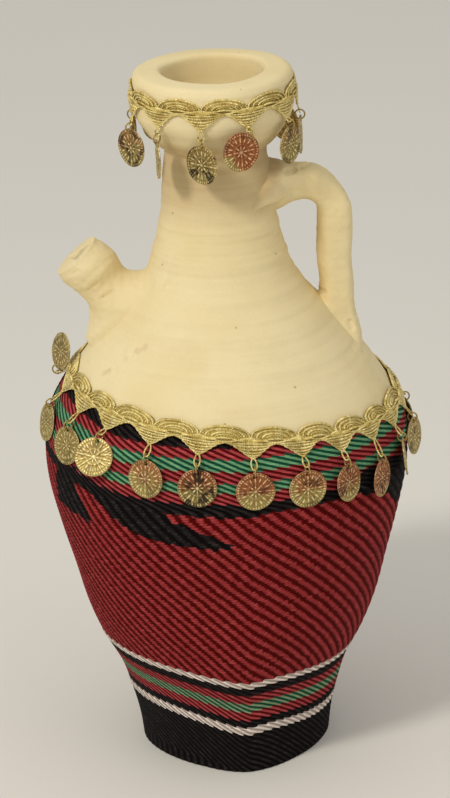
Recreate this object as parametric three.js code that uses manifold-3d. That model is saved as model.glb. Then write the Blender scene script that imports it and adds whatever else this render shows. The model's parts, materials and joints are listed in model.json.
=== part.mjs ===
// A clay water jug with a drinking spout and a strap handle. Its lower body is wrapped in woven cloth.
// Two gold braids, one round the collar and one over the cloth's top edge, carry coins that swing on jump rings.
// Millimetres, +Z up. The origin is on the jug's axis at the table. An azimuth of 0 faces -Y, and 90 faces +X.
import * as THREE from 'three';
import { mergeVertices } from 'three/addons/utils/BufferGeometryUtils.js';
import Module from 'manifold-3d';

const wasm = await Module();
wasm.setup();

// Clay body: its heights stack up from the table
const FOOT_RADIUS = 37;
const BELLY_RADIUS = 75.5;
const BELLY_HEIGHT = 140;
const NECK_FOOT_RADIUS = 35.9;
const SHOULDER_RISE = 67;
const NECK_RADIUS = 21.7;
const NECK_RISE = 60;
const COLLAR_RADIUS = 33.3;
const COLLAR_RISE = 33;
const LIP_ROUND = 3.5;
const LIP_EDGE = 2.4;
const MOUTH_RADIUS = 21;
const MOUTH_DEPTH = 7;
const BODY_WALL = 6;
const NECK_WALL = 5;
const FLOOR_THICKNESS = 9;
const BODY_SIDES = 40;

// Clearance kept between pieces that touch on the real jug
const SEAT_GAP = 0.3;

// Spout
const SPOUT_AZIMUTH = -90;
const SPOUT_ELEVATION = 50;
const SPOUT_END_RADIUS = 10.7;
const SPOUT_BULGE = 1.2;
const SPOUT_WAIST = 10.3;
const SPOUT_FLARE = 24;
const SPOUT_SIDE_FLARE = 14;
const SPOUT_LENGTH = 29;
const SPOUT_ROOT_DROP = 6;
const SPOUT_BORE_RADIUS = 2.5;
const SPOUT_HOLLOW_RADIUS = 6.5;
const SPOUT_END_WALL = 4;
const SPOUT_SIDES = 18;

// Handle
const HANDLE_AZIMUTH = 97;
const HANDLE_INSET = 20;
const HANDLE_CREST_DROP = 43;
const HANDLE_THICKNESS = 13.5;
const HANDLE_WIDTH = 18;
const HANDLE_BEND = 14;
const HANDLE_ROOT_SPREAD = 1.45;
const HANDLE_SIDES = 12;
const BEAK_AZIMUTH = 39;
const BEAK_DROP = 4;
const BEAK_DEPTH = 10;

// Cloth
const CLOTH_THICKNESS = 1.2;
const CLOTH_HEM_HEIGHT = 0.4;
const CLOTH_CORNER_TOP = 95;
const CLOTH_CORNER_FULL = 40;
const CLOTH_CORNER_POWER = 1.7;
const CLOTH_CORNER_TURN = -3;

// Braid
const BRAID_THICKNESS = 1.2;
const BRAID_BAND = 2.6;
const BRAID_SCALLOP = 5;
const BRAID_FAN = 7.5;
const BRAID_STEPS = 6;
const SHOULDER_BRAID_RISE = 26;
const SHOULDER_BRAID_TILT = 6;
const COLLAR_BRAID_DROP = 8.5;

// Thread loops, jump rings and coins
const THREAD_RADIUS = 0.35;
const THREAD_DROP = 3.3;
const THREAD_SPREAD = 1.3;
const RING_RADIUS = 2;
const RING_WIRE_RADIUS = 0.3;
const RING_PLAY = 0.3;
const COIN_RADIUS = 8;
const COIN_THICKNESS = 0.6;
const COIN_HOLE_INSET = 1.5;
const COIN_REST_GAP = 0.4;
const COIN_STANDOFF = 21;
const COIN_SIDES = 16;

const UP = new THREE.Vector3(0, 0, 1);
const radians = THREE.MathUtils.degToRad;
const lerp = THREE.MathUtils.lerp;
const smoothstep = THREE.MathUtils.smoothstep;

const NECK_FOOT_HEIGHT = BELLY_HEIGHT + SHOULDER_RISE;
const NECK_TOP_HEIGHT = NECK_FOOT_HEIGHT + NECK_RISE;
const JUG_HEIGHT = NECK_TOP_HEIGHT + COLLAR_RISE;
const SPOUT_ROOT_HEIGHT = NECK_FOOT_HEIGHT - SPOUT_ROOT_DROP;
const HANDLE_CREST = JUG_HEIGHT - HANDLE_CREST_DROP;
const HANDLE_REACH = BELLY_RADIUS - HANDLE_INSET;
const SHOULDER_BRAID_HEIGHT = BELLY_HEIGHT + SHOULDER_BRAID_RISE;

// Places a stretch of outline: each entry is a share of the stretch's rise and of its change of radius
function stretch(low, rise, from, to, shares) {
  return shares.map(([up, out]) => new THREE.Vector2(lerp(from, to, out), low + rise * up));
}

const outline = new THREE.SplineCurve([
  ...stretch(0, BELLY_HEIGHT, FOOT_RADIUS, BELLY_RADIUS, [
    [0, 0], [0.09, 0.04], [0.18, 0.115], [0.28, 0.225], [0.39, 0.425],
    [0.51, 0.61], [0.64, 0.755], [0.77, 0.88], [0.9, 0.98], [1, 1],
  ]),
  ...stretch(BELLY_HEIGHT, SHOULDER_RISE, BELLY_RADIUS, NECK_FOOT_RADIUS, [
    [0.14, 0.03], [0.28, 0.105], [0.46, 0.285], [0.64, 0.51], [0.82, 0.75], [1, 1],
  ]),
  ...stretch(NECK_FOOT_HEIGHT, NECK_RISE, NECK_FOOT_RADIUS, NECK_RADIUS, [
    [0.2, 0.465], [0.4, 0.725], [0.62, 0.86], [0.85, 0.95], [1, 1],
  ]),
  ...stretch(NECK_TOP_HEIGHT, COLLAR_RISE, NECK_RADIUS, COLLAR_RADIUS, [
    [0.13, 0.3], [0.3, 0.66], [0.48, 0.94], [0.64, 1], [0.8, 1],
  ]),
]).getPoints(400);

// Outer radius of the clay at a height
function clayRadius(height) {
  let i = 1;
  while (i < outline.length - 1 && outline[i].y < height) {
    i += 1;
  }
  const share = THREE.MathUtils.clamp((height - outline[i - 1].y) / (outline[i].y - outline[i - 1].y), 0, 1);
  return lerp(outline[i - 1].x, outline[i].x, share);
}

// Inner radius of the clay at a height
function hollowRadius(height) {
  const wall = lerp(BODY_WALL, NECK_WALL, smoothstep(height, BELLY_HEIGHT, NECK_FOOT_HEIGHT));
  const bore = clayRadius(Math.min(height, NECK_TOP_HEIGHT)) - wall;
  return lerp(bore, MOUTH_RADIUS, smoothstep(height, NECK_TOP_HEIGHT, JUG_HEIGHT - MOUTH_DEPTH));
}

// Turns a geometry into a solid, with its shared corners merged
function solidOf(geometry) {
  const bare = new THREE.BufferGeometry();
  bare.setAttribute('position', geometry.getAttribute('position'));
  bare.setIndex(geometry.getIndex());
  const merged = mergeVertices(bare, 1e-4);
  const index = Array.from(merged.getIndex().array);
  const triVerts = [];
  for (let i = 0; i < index.length; i += 3) {
    const [a, b, c] = index.slice(i, i + 3);
    if (a !== b && b !== c && c !== a) {
      triVerts.push(a, b, c);
    }
  }
  const vertProperties = new Float32Array(merged.getAttribute('position').array);
  return new wasm.Manifold(new wasm.Mesh({ numProp: 3, vertProperties, triVerts: new Uint32Array(triVerts) }));
}

// Turns a solid back into a geometry
function geometryOf(solid) {
  const mesh = solid.getMesh();
  const geometry = new THREE.BufferGeometry();
  geometry.setAttribute('position', new THREE.BufferAttribute(Float32Array.from(mesh.vertProperties), 3));
  geometry.setIndex(Array.from(mesh.triVerts));
  geometry.computeVertexNormals();
  return geometry;
}

// Spins a profile of radius and height round the Z axis
function spin(points, sides) {
  return new THREE.LatheGeometry(points, sides).rotateX(Math.PI / 2);
}

// Skins a row of closed rings and caps both ends. Seen from the last ring, each ring runs anticlockwise.
function loft(rings) {
  const count = rings[0].length;
  const corners = rings.flat();
  const index = [];
  for (let row = 0; row < rings.length - 1; row += 1) {
    for (let i = 0; i < count; i += 1) {
      const a = row * count + i;
      const b = row * count + ((i + 1) % count);
      index.push(a, b, b + count, a, b + count, a + count);
    }
  }
  const last = (rings.length - 1) * count;
  for (let i = 1; i < count - 1; i += 1) {
    index.push(0, i + 1, i);
    index.push(last, last + i, last + i + 1);
  }
  const geometry = new THREE.BufferGeometry().setFromPoints(corners);
  geometry.setIndex(index);
  return geometry;
}

// Joins an outer and an inner skin into one closed band round the axis. Each skin gives a corner for a column and row,
// and row 0 is the upper edge.
function band(columns, rows, outer, inner) {
  const corners = [];
  const index = [];
  const loop = 2 * rows;
  for (let i = 0; i < columns; i += 1) {
    for (let j = 0; j < rows; j += 1) {
      corners.push(outer(i, j));
    }
    for (let j = rows - 1; j >= 0; j -= 1) {
      corners.push(inner(i, j));
    }
  }
  for (let i = 0; i < columns; i += 1) {
    const here = i * loop;
    const next = ((i + 1) % columns) * loop;
    for (let j = 0; j < loop; j += 1) {
      const k = (j + 1) % loop;
      index.push(here + j, here + k, next + k, here + j, next + k, next + j);
    }
  }
  const geometry = new THREE.BufferGeometry().setFromPoints(corners);
  geometry.setIndex(index);
  return geometry;
}

// A point at an azimuth in degrees, a radius and a height
function polar(azimuth, radius, height) {
  const angle = radians(azimuth);
  return new THREE.Vector3(radius * Math.sin(angle), -radius * Math.cos(angle), height);
}

// Evenly spaced heights above a first one, up to and including the last
function levels(low, high, steps) {
  return Array.from({ length: steps }, (_, i) => lerp(low, high, (i + 1) / steps));
}

// Heights of the clay's rows of corners, closer together where its outline bends more
const LIP_FOOT_HEIGHT = JUG_HEIGHT - LIP_ROUND;
const lowLevels = [0, ...levels(0, BELLY_HEIGHT, 8)];
const clayLevels = [
  ...lowLevels,
  ...levels(BELLY_HEIGHT, NECK_FOOT_HEIGHT, 8),
  ...levels(NECK_FOOT_HEIGHT, NECK_TOP_HEIGHT, 6),
  ...levels(NECK_TOP_HEIGHT, LIP_FOOT_HEIGHT, 6),
];

// Outer side of the clay, from the foot's edge to the foot of the rolled lip
function claySide(extra) {
  return clayLevels.map((height) => new THREE.Vector2(clayRadius(height) + extra, height));
}

// A quarter of a circle in the lip's section, from an angle on
function lipArc(centre, radius, from) {
  return [0.25, 0.5, 0.75, 1].map((share) => {
    const angle = from + (share * Math.PI) / 2;
    return new THREE.Vector2(centre.x + radius * Math.cos(angle), centre.y + radius * Math.sin(angle));
  });
}

// The clay's outer form, filled and grown by the seat gap: what pieces that seat on the clay are cut by
function clayEnvelope() {
  const top = JUG_HEIGHT + SEAT_GAP;
  return solidOf(spin([
    new THREE.Vector2(0, -SEAT_GAP),
    new THREE.Vector2(FOOT_RADIUS + SEAT_GAP, -SEAT_GAP),
    ...claySide(SEAT_GAP),
    new THREE.Vector2(COLLAR_RADIUS + SEAT_GAP, top),
    new THREE.Vector2(0, top),
  ], BODY_SIDES));
}

const spoutRoot = polar(SPOUT_AZIMUTH, clayRadius(SPOUT_ROOT_HEIGHT), SPOUT_ROOT_HEIGHT);
const spoutAxis = polar(SPOUT_AZIMUTH, Math.cos(radians(SPOUT_ELEVATION)), Math.sin(radians(SPOUT_ELEVATION)));

// Turns a geometry made along +Z so that it runs along the spout, with height 0 at the spout's root
function alongSpout(geometry) {
  const across = polar(SPOUT_AZIMUTH + 90, 1, 0);
  const upright = new THREE.Vector3().crossVectors(across, spoutAxis);
  geometry.applyMatrix4(new THREE.Matrix4().makeBasis(upright, across, spoutAxis));
  return geometry.translate(spoutRoot.x, spoutRoot.y, spoutRoot.z);
}

function jugBodyGeometry() {
  const crest = MOUTH_RADIUS + LIP_EDGE;
  const edge = new THREE.Vector2(crest, JUG_HEIGHT - LIP_EDGE);
  const roll = new THREE.Vector2(COLLAR_RADIUS - LIP_ROUND, LIP_FOOT_HEIGHT);
  const inside = levels(edge.y, FLOOR_THICKNESS, 13).map((height) => new THREE.Vector2(hollowRadius(height), height));
  const body = solidOf(spin([
    new THREE.Vector2(0, 0),
    ...claySide(0),
    ...lipArc(roll, LIP_ROUND, 0),
    new THREE.Vector2(crest, JUG_HEIGHT),
    ...lipArc(edge, LIP_EDGE, Math.PI / 2),
    ...inside,
    new THREE.Vector2(0, FLOOR_THICKNESS),
  ], BODY_SIDES));
  const length = 6 * BODY_WALL;
  const hole = new THREE.CylinderGeometry(SPOUT_HOLLOW_RADIUS, SPOUT_HOLLOW_RADIUS, length, SPOUT_SIDES);
  return geometryOf(body.subtract(solidOf(alongSpout(hole.rotateX(Math.PI / 2)))));
}

// The spout's outer form. Its root spreads wider up and down the shoulder than sideways.
function spoutForm() {
  const belly = SPOUT_END_RADIUS + SPOUT_BULGE;
  const shares = [-0.8, 0, 0.13, 0.26, 0.4, 0.55, 0.68, 0.85, 1];
  const rings = shares.map((share) => {
    const spread = (1 - smoothstep(share, -0.1, 0.4)) ** 1.2;
    const swell = share > 0.85 ? SPOUT_END_RADIUS : lerp(SPOUT_WAIST, belly, smoothstep(share, 0.45, 0.7));
    const ring = [];
    for (let i = 0; i < SPOUT_SIDES; i += 1) {
      const angle = (2 * Math.PI * i) / SPOUT_SIDES;
      const tall = lerp(swell, SPOUT_FLARE, spread) * Math.cos(angle);
      const wide = lerp(swell, SPOUT_SIDE_FLARE, spread) * Math.sin(angle);
      ring.push(new THREE.Vector3(tall, wide, share * SPOUT_LENGTH));
    }
    return ring;
  });
  return solidOf(alongSpout(loft(rings)));
}

function spoutGeometry() {
  const ceiling = SPOUT_LENGTH - SPOUT_END_WALL;
  const bore = solidOf(alongSpout(spin([
    new THREE.Vector2(0, 2 * SPOUT_LENGTH),
    new THREE.Vector2(SPOUT_BORE_RADIUS, 2 * SPOUT_LENGTH),
    new THREE.Vector2(SPOUT_BORE_RADIUS, ceiling),
    new THREE.Vector2(SPOUT_HOLLOW_RADIUS, ceiling - SPOUT_HOLLOW_RADIUS),
    new THREE.Vector2(SPOUT_HOLLOW_RADIUS, -2 * SPOUT_LENGTH),
    new THREE.Vector2(0, -2 * SPOUT_LENGTH),
  ].reverse(), SPOUT_SIDES)));
  return geometryOf(spoutForm().subtract(bore).subtract(clayEnvelope()));
}

// One rounded section of the strap, across a direction of travel in the handle's plane
function strapSection(centre, travel, halfThickness, halfWidth) {
  const across = polar(HANDLE_AZIMUTH + 90, 1, 0);
  const out = new THREE.Vector3().crossVectors(travel, across);
  const ring = [];
  for (let i = 0; i < HANDLE_SIDES; i += 1) {
    const angle = (2 * Math.PI * i) / HANDLE_SIDES;
    const soften = (value) => Math.sign(value) * Math.abs(value) ** 0.75;
    ring.push(centre.clone()
      .addScaledVector(across, halfWidth * soften(Math.cos(angle)))
      .addScaledVector(out, halfThickness * soften(Math.sin(angle))));
  }
  return ring;
}

function strapGeometry() {
  const reach = HANDLE_REACH - HANDLE_THICKNESS / 2;
  const crest = HANDLE_CREST - HANDLE_THICKNESS / 2;
  const corner = reach - HANDLE_BEND;
  let landing = crest;
  while (clayRadius(landing) < reach) {
    landing -= 1;
  }
  const route = [];
  for (const share of [0, 0.35, 0.7]) {
    route.push([lerp(NECK_RADIUS - NECK_WALL, corner, share), crest]);
  }
  for (let i = 0; i <= 4; i += 1) {
    const angle = (Math.PI / 2) * (1 - i / 4);
    route.push([corner + HANDLE_BEND * Math.cos(angle), crest - HANDLE_BEND * (1 - Math.sin(angle))]);
  }
  for (const share of [0.33, 0.6, 0.8, 1]) {
    route.push([reach, lerp(crest - HANDLE_BEND, landing - HANDLE_THICKNESS, share)]);
  }
  const centres = route.map(([radius, height]) => polar(HANDLE_AZIMUTH, radius, height));
  const rings = centres.map((centre, i) => {
    const before = centres[Math.max(i - 1, 0)];
    const after = centres[Math.min(i + 1, centres.length - 1)];
    const travel = new THREE.Vector3().subVectors(after, before).normalize();
    const nearNeck = 1 - smoothstep(route[i][0], NECK_RADIUS, corner);
    const nearShoulder = 1 - smoothstep(centre.z, landing - HANDLE_THICKNESS, landing + HANDLE_THICKNESS);
    const spread = lerp(1, HANDLE_ROOT_SPREAD, Math.max(nearNeck, nearShoulder));
    return strapSection(centre, travel, (spread * HANDLE_THICKNESS) / 2, (spread * HANDLE_WIDTH) / 2);
  });
  return loft(rings);
}

// The strap's upper end, smeared forward round the neck and drawn down to a point
function beakGeometry() {
  const crest = HANDLE_CREST - HANDLE_THICKNESS / 2;
  const sides = 8;
  const steps = 6;
  const rings = [];
  for (let row = 0; row <= steps; row += 1) {
    const share = row / steps;
    const azimuth = lerp(HANDLE_AZIMUTH, BEAK_AZIMUTH, share);
    const height = crest - BEAK_DROP * share;
    const size = BEAK_DEPTH * (1 - 0.9 * share);
    const ring = [];
    for (let i = 0; i < sides; i += 1) {
      const angle = (2 * Math.PI * i) / sides;
      ring.push(polar(azimuth, clayRadius(height) + size * Math.cos(angle), height + size * Math.sin(angle)));
    }
    rings.push(ring);
  }
  return loft(rings);
}

function handleGeometry() {
  const strap = solidOf(strapGeometry());
  return geometryOf(strap.add(solidOf(beakGeometry())).subtract(clayEnvelope()));
}

// How far the cloth's section is squared at a height: a power of 2 is round
function cornerPower(height) {
  return lerp(CLOTH_CORNER_POWER, 2, smoothstep(height, CLOTH_CORNER_FULL, CLOTH_CORNER_TOP));
}

// Growth of a squared section at an azimuth, 1 on the middle of its flat sides
function cornerGrowth(azimuth, height) {
  const power = cornerPower(height);
  const grown = (value) => Math.abs(value) ** power;
  const radius = (angle) => (grown(Math.cos(angle)) + grown(Math.sin(angle))) ** (-1 / power);
  return radius(radians(azimuth - CLOTH_CORNER_TURN)) / radius(Math.PI / 4);
}

function clothInner(azimuth, height) {
  return (clayRadius(height) + SEAT_GAP) * cornerGrowth(azimuth, height);
}

function clothOuter(azimuth, height) {
  return clothInner(azimuth, height) + CLOTH_THICKNESS;
}

// Azimuth of a place along a braid, counted in repeats. Whole numbers are the tips of its net fans.
function repeatAzimuth(braid, repeat) {
  const count = braid.poses.length;
  const azimuthOf = (tip) => braid.poses[tip % count].azimuth + 360 * Math.floor(tip / count);
  const tip = Math.floor(repeat);
  return lerp(azimuthOf(tip), azimuthOf(tip + 1), repeat - tip);
}

// Height of a braid's middle line at an azimuth
function braidLine(braid, azimuth) {
  return braid.height - Math.tan(radians(braid.tilt)) * braid.radiusAt(braid.height) * Math.sin(radians(azimuth));
}

// Share of a length along the dressed surface that goes into height
function rise(braid, height) {
  const run = (braid.radiusAt(height + 1) - braid.radiusAt(height - 1)) / 2;
  return 1 / Math.hypot(1, run);
}

// How a coin hangs: the azimuth of its fan's tip, its twist and roll in degrees, and the thread above its ring
function posed(azimuth, twist, roll = 0, thread = THREAD_DROP, raised = false) {
  return { azimuth, twist, roll, thread, raised };
}

// Poses spread evenly between two azimuths, given their twists
function spread(from, to, twists) {
  return twists.map((twist, i) => posed(lerp(from, to, (i + 1) / (twists.length + 1)), twist));
}

// Both braids, with one pose for each of their fan tips. A braid lies on one surface, and its coins clear another.
const dressedRadius = (height) => clayRadius(height) + SEAT_GAP + CLOTH_THICKNESS;
const shoulderBraid = {
  poses: [
    posed(-100, -37, 0, THREAD_DROP, true),
    posed(-79.5, 10),
    posed(-60.3, 10, 8),
    posed(-44, 26, 4, THREAD_DROP / 3),
    posed(-25.6, -6),
    posed(-9.3, 4),
    posed(8, 0),
    posed(24.2, -6),
    posed(38.3, 14),
    posed(53, 10, 0, 2 * THREAD_DROP),
    posed(67, 20),
    posed(84.5, -18),
    ...spread(84.5, 260, [8, -12, 5, -6, 14, -9, 3, -14, 9]),
  ],
  height: SHOULDER_BRAID_HEIGHT,
  tilt: SHOULDER_BRAID_TILT,
  radiusAt: dressedRadius,
  clearOf: dressedRadius,
};

const collarBraid = {
  poses: [
    posed(-75, 26),
    posed(-41, -42),
    posed(-9, -32, 0, 1.3 * THREAD_DROP),
    posed(23.5, 2, -42, THREAD_DROP / 3),
    posed(59, 0, 0, THREAD_DROP / 2),
    ...spread(59, 285, [-8, 12, -8, 6, -14, 9]),
  ],
  height: JUG_HEIGHT - COLLAR_BRAID_DROP,
  tilt: 0,
  radiusAt: (height) => Math.max(clayRadius(height), COLLAR_RADIUS),
  clearOf: clayRadius,
};

// Azimuth, radius and height of a fan's tip, in the middle of the braid's thickness
function fanTip(braid, repeat) {
  const azimuth = repeatAzimuth(braid, repeat);
  const line = braidLine(braid, azimuth);
  const height = line - BRAID_FAN * rise(braid, line);
  return { azimuth, height, radius: braid.radiusAt(height) + SEAT_GAP + BRAID_THICKNESS / 2 };
}

// Where a pendant's jump ring hangs on its thread loop
function hangPoint(braid, repeat, pose) {
  const tip = fanTip(braid, repeat);
  const ringReach = RING_RADIUS + RING_WIRE_RADIUS + COIN_REST_GAP;
  if (pose.raised) {
    return { azimuth: tip.azimuth, radius: tip.radius + pose.thread, height: tip.height };
  }
  const height = tip.height - pose.thread;
  const behind = Math.max(braid.clearOf(height + RING_RADIUS), braid.clearOf(height - RING_RADIUS));
  return { azimuth: tip.azimuth, radius: Math.max(tip.radius, behind + ringReach), height };
}

// A closed thread loop from inside the braid's tip down to the ring's hang point
function threadLoop(tip, hang) {
  const top = polar(tip.azimuth, tip.radius, tip.height);
  const low = polar(hang.azimuth, hang.radius, hang.height);
  const down = new THREE.Vector3().subVectors(low, top);
  const half = down.length() / 2 + THREAD_RADIUS;
  down.normalize();
  const side = polar(tip.azimuth + 90, 1, 0);
  const centre = low.clone().addScaledVector(down, -half);
  const facing = new THREE.Vector3().crossVectors(side, down);
  const steps = 6;
  const sides = 4;
  const corners = [];
  const index = [];
  for (let i = 0; i < steps; i += 1) {
    const turn = (2 * Math.PI * i) / steps;
    const point = centre.clone()
      .addScaledVector(side, THREAD_SPREAD * Math.sin(turn))
      .addScaledVector(down, half * Math.cos(turn));
    const out = new THREE.Vector3()
      .addScaledVector(side, half * Math.sin(turn))
      .addScaledVector(down, THREAD_SPREAD * Math.cos(turn))
      .normalize();
    for (let j = 0; j < sides; j += 1) {
      const angle = (2 * Math.PI * j) / sides;
      corners.push(point.clone()
        .addScaledVector(out, THREAD_RADIUS * Math.cos(angle))
        .addScaledVector(facing, THREAD_RADIUS * Math.sin(angle)));
    }
  }
  for (let i = 0; i < steps; i += 1) {
    for (let j = 0; j < sides; j += 1) {
      const a = i * sides + j;
      const b = i * sides + ((j + 1) % sides);
      const c = ((i + 1) % steps) * sides + j;
      const d = ((i + 1) % steps) * sides + ((j + 1) % sides);
      index.push(a, b, d, a, d, c);
    }
  }
  const geometry = new THREE.BufferGeometry().setFromPoints(corners);
  geometry.setIndex(index);
  return geometry;
}

function braidGeometry(braid) {
  const edges = (column) => {
    const repeat = column / BRAID_STEPS;
    const azimuth = repeatAzimuth(braid, repeat);
    const line = braidLine(braid, azimuth);
    const fromTip = Math.abs(repeat - Math.round(repeat)) * 2;
    const scallop = Math.sqrt(1 - (1 - fromTip) ** 2);
    const upper = lerp(BRAID_BAND / 2, BRAID_SCALLOP, scallop);
    const lower = lerp(BRAID_FAN, BRAID_BAND / 2, fromTip ** 0.8);
    const offsets = [upper, BRAID_BAND / 2, -BRAID_BAND / 2, -lower];
    return { azimuth, heights: offsets.map((along) => line + along * rise(braid, line)) };
  };
  const skin = (extra) => (column, row) => {
    const { azimuth, heights } = edges(column);
    return polar(azimuth, braid.radiusAt(heights[row]) + extra, heights[row]);
  };
  const columns = braid.poses.length * BRAID_STEPS;
  const strip = band(columns, 4, skin(SEAT_GAP + BRAID_THICKNESS), skin(SEAT_GAP));
  return geometryOf(braid.poses.reduce(
    (solid, pose, repeat) => solid.add(solidOf(threadLoop(fanTip(braid, repeat), hangPoint(braid, repeat, pose)))),
    solidOf(strip),
  ));
}

function clothGeometry() {
  const skin = (radiusOf) => (column, row) => {
    const azimuth = (360 * column) / BODY_SIDES;
    const top = braidLine(shoulderBraid, azimuth);
    const heights = [CLOTH_HEM_HEIGHT, ...lowLevels.slice(1), ...levels(BELLY_HEIGHT, top, 4)].reverse();
    return polar(azimuth, radiusOf(azimuth, heights[row]), heights[row]);
  };
  return geometryOf(solidOf(band(BODY_SIDES, lowLevels.length + 4, skin(clothOuter), skin(clothInner))));
}

// A coin with its jump ring. The ring's hang point is the origin, +Y faces out and +X is the hinge line. Twist turns
// the coin about the vertical, and roll swings it sideways about its hole.
function pendantGeometry(pose) {
  const ringDrop = RING_RADIUS - RING_WIRE_RADIUS - THREAD_RADIUS - RING_PLAY;
  const ring = new THREE.TorusGeometry(RING_RADIUS, RING_WIRE_RADIUS, 4, 8);
  ring.rotateY(Math.PI / 2).translate(0, 0, -ringDrop);
  const coin = new THREE.CylinderGeometry(COIN_RADIUS, COIN_RADIUS, COIN_THICKNESS, COIN_SIDES);
  coin.translate(0, 0, COIN_HOLE_INSET - COIN_RADIUS);
  coin.rotateY(radians(pose.roll));
  coin.rotateZ(radians(pose.twist));
  coin.translate(0, 0, -ringDrop - RING_RADIUS);
  return geometryOf(solidOf(ring).add(solidOf(coin)));
}

// Outward swing at which a coin comes to rest against the cloth or the clay
function restingSwing(braid, hang, pose) {
  const back = [];
  const rimPoints = 24;
  for (let i = 0; i < rimPoints; i += 1) {
    const angle = (2 * Math.PI * i) / rimPoints;
    const [across, along] = [Math.sin(angle), Math.cos(angle)];
    back.push(new THREE.Vector3(COIN_RADIUS * across, -COIN_THICKNESS / 2, COIN_RADIUS * along));
  }
  const drop = 2 * RING_RADIUS - RING_WIRE_RADIUS - THREAD_RADIUS - RING_PLAY;
  const yAxis = new THREE.Vector3(0, 1, 0);
  const xAxis = new THREE.Vector3(1, 0, 0);
  const clears = (swing) => back.every((corner) => {
    const point = corner.clone();
    point.z += COIN_HOLE_INSET - COIN_RADIUS;
    point.applyAxisAngle(yAxis, radians(pose.roll)).applyAxisAngle(UP, radians(pose.twist));
    point.z -= drop;
    point.applyAxisAngle(xAxis, radians(swing));
    const radius = Math.hypot(hang.radius + point.y, point.x);
    return radius > braid.clearOf(hang.height + point.z) + COIN_REST_GAP;
  });
  const steepest = 60;
  const step = 0.5;
  let swing = 0;
  while (swing < steepest && !clears(swing)) {
    swing += step;
  }
  return swing;
}

// Swing of a coin that stands flipped up, to the nearest degree: past the vertical as far as the shoulder leans,
// less the angle that its scallop holds it off
function raisedSwing(braid, hang) {
  const reach = 2 * COIN_RADIUS;
  const lean = Math.atan2(braid.clearOf(hang.height) - braid.clearOf(hang.height + reach), reach);
  return 180 + Math.round(THREE.MathUtils.radToDeg(lean)) - COIN_STANDOFF;
}

const clay = new THREE.MeshStandardMaterial({ color: 0xdccb9b, roughness: 0.92, metalness: 0 });
const cloth = new THREE.MeshStandardMaterial({ color: 0x8c2428, roughness: 0.95, metalness: 0 });
const braidThread = new THREE.MeshStandardMaterial({ color: 0xb79a45, roughness: 0.5, metalness: 0.6 });
const coinMetal = new THREE.MeshStandardMaterial({ color: 0xc9a94f, roughness: 0.3, metalness: 1 });

const jug = new THREE.Group();

function addPiece(name, geometry, material) {
  const mesh = new THREE.Mesh(geometry, material);
  mesh.name = name;
  jug.add(mesh);
  return mesh;
}

// Hangs one pendant on each thread loop of a braid, its hinge line along the braid
function addPendants(prefix, braid) {
  braid.poses.forEach((pose, repeat) => {
    const hang = hangPoint(braid, repeat, pose);
    const name = `${prefix}_${String(repeat + 1).padStart(2, '0')}`;
    const mesh = addPiece(name, pendantGeometry(pose), coinMetal);
    const swing = pose.raised ? raisedSwing(braid, hang) : restingSwing(braid, hang, pose);
    mesh.position.copy(polar(hang.azimuth, hang.radius, hang.height));
    mesh.rotation.set(radians(swing), 0, radians(hang.azimuth + 180), 'ZXY');
  });
}

addPiece('jug_body', jugBodyGeometry(), clay);
addPiece('spout', spoutGeometry(), clay);
addPiece('handle', handleGeometry(), clay);
addPiece('fabric_wrap', clothGeometry(), cloth);
addPiece('shoulder_trim', braidGeometry(shoulderBraid), braidThread);
addPiece('collar_trim', braidGeometry(collarBraid), braidThread);
addPendants('shoulder_coin', shoulderBraid);
addPendants('collar_coin', collarBraid);

export default jug;
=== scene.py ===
# %% [markdown]
# # A clay water jug dressed in woven cloth, gold braid and coins
#
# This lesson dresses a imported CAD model. The model gives every piece its place and its size, and tells
# which pieces move. Here each piece is made again with the form and the finish of the real one: clay that
# was thrown on a wheel, a strip of wool twill, lace braid of metal thread, and thin stamped coins.
#
# The frame is loaded first, because every piece made below rides on one of its bodies.

import json
import math

import bmesh
import bpy
import numpy as np
from mathutils import Matrix, Vector, noise


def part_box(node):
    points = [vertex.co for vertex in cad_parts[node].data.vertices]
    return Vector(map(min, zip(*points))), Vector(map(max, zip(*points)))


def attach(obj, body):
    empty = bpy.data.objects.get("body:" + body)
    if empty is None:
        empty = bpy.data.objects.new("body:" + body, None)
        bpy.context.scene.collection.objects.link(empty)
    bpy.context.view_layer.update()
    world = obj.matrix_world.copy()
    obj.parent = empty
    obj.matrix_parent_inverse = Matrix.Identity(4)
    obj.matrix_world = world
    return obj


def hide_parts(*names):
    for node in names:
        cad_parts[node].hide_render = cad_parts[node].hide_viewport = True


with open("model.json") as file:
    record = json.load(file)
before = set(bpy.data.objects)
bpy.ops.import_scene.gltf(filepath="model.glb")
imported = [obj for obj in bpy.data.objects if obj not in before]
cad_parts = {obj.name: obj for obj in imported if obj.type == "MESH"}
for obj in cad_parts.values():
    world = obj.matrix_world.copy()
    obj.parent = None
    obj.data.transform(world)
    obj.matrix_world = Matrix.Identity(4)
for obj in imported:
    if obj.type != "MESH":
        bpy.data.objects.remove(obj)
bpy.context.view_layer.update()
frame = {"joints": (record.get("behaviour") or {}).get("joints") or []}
MM = 0.001
JOIN = 1e-6  # vertices closer than this, in metres, are one

# %% [markdown]
# ## Camera
#
# The photograph was taken from a little above, about 1.35 m away, with a long lens. The camera's place and
# lens were worked out from the ellipses of the collar and the cloth's foot. The jug's axis leans a little in
# the picture, so the camera is rolled by the same angle instead of leaning the jug.

# %% Camera
CAMERA_PLACE = Vector((0, -1.2, 0.624))
CAMERA_PITCH = math.radians(21.3)
CAMERA_ROLL = math.radians(2.27)
PICTURE_HEIGHT = 798
FOCAL_PIXELS = 3038
SENSOR = 36

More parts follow.
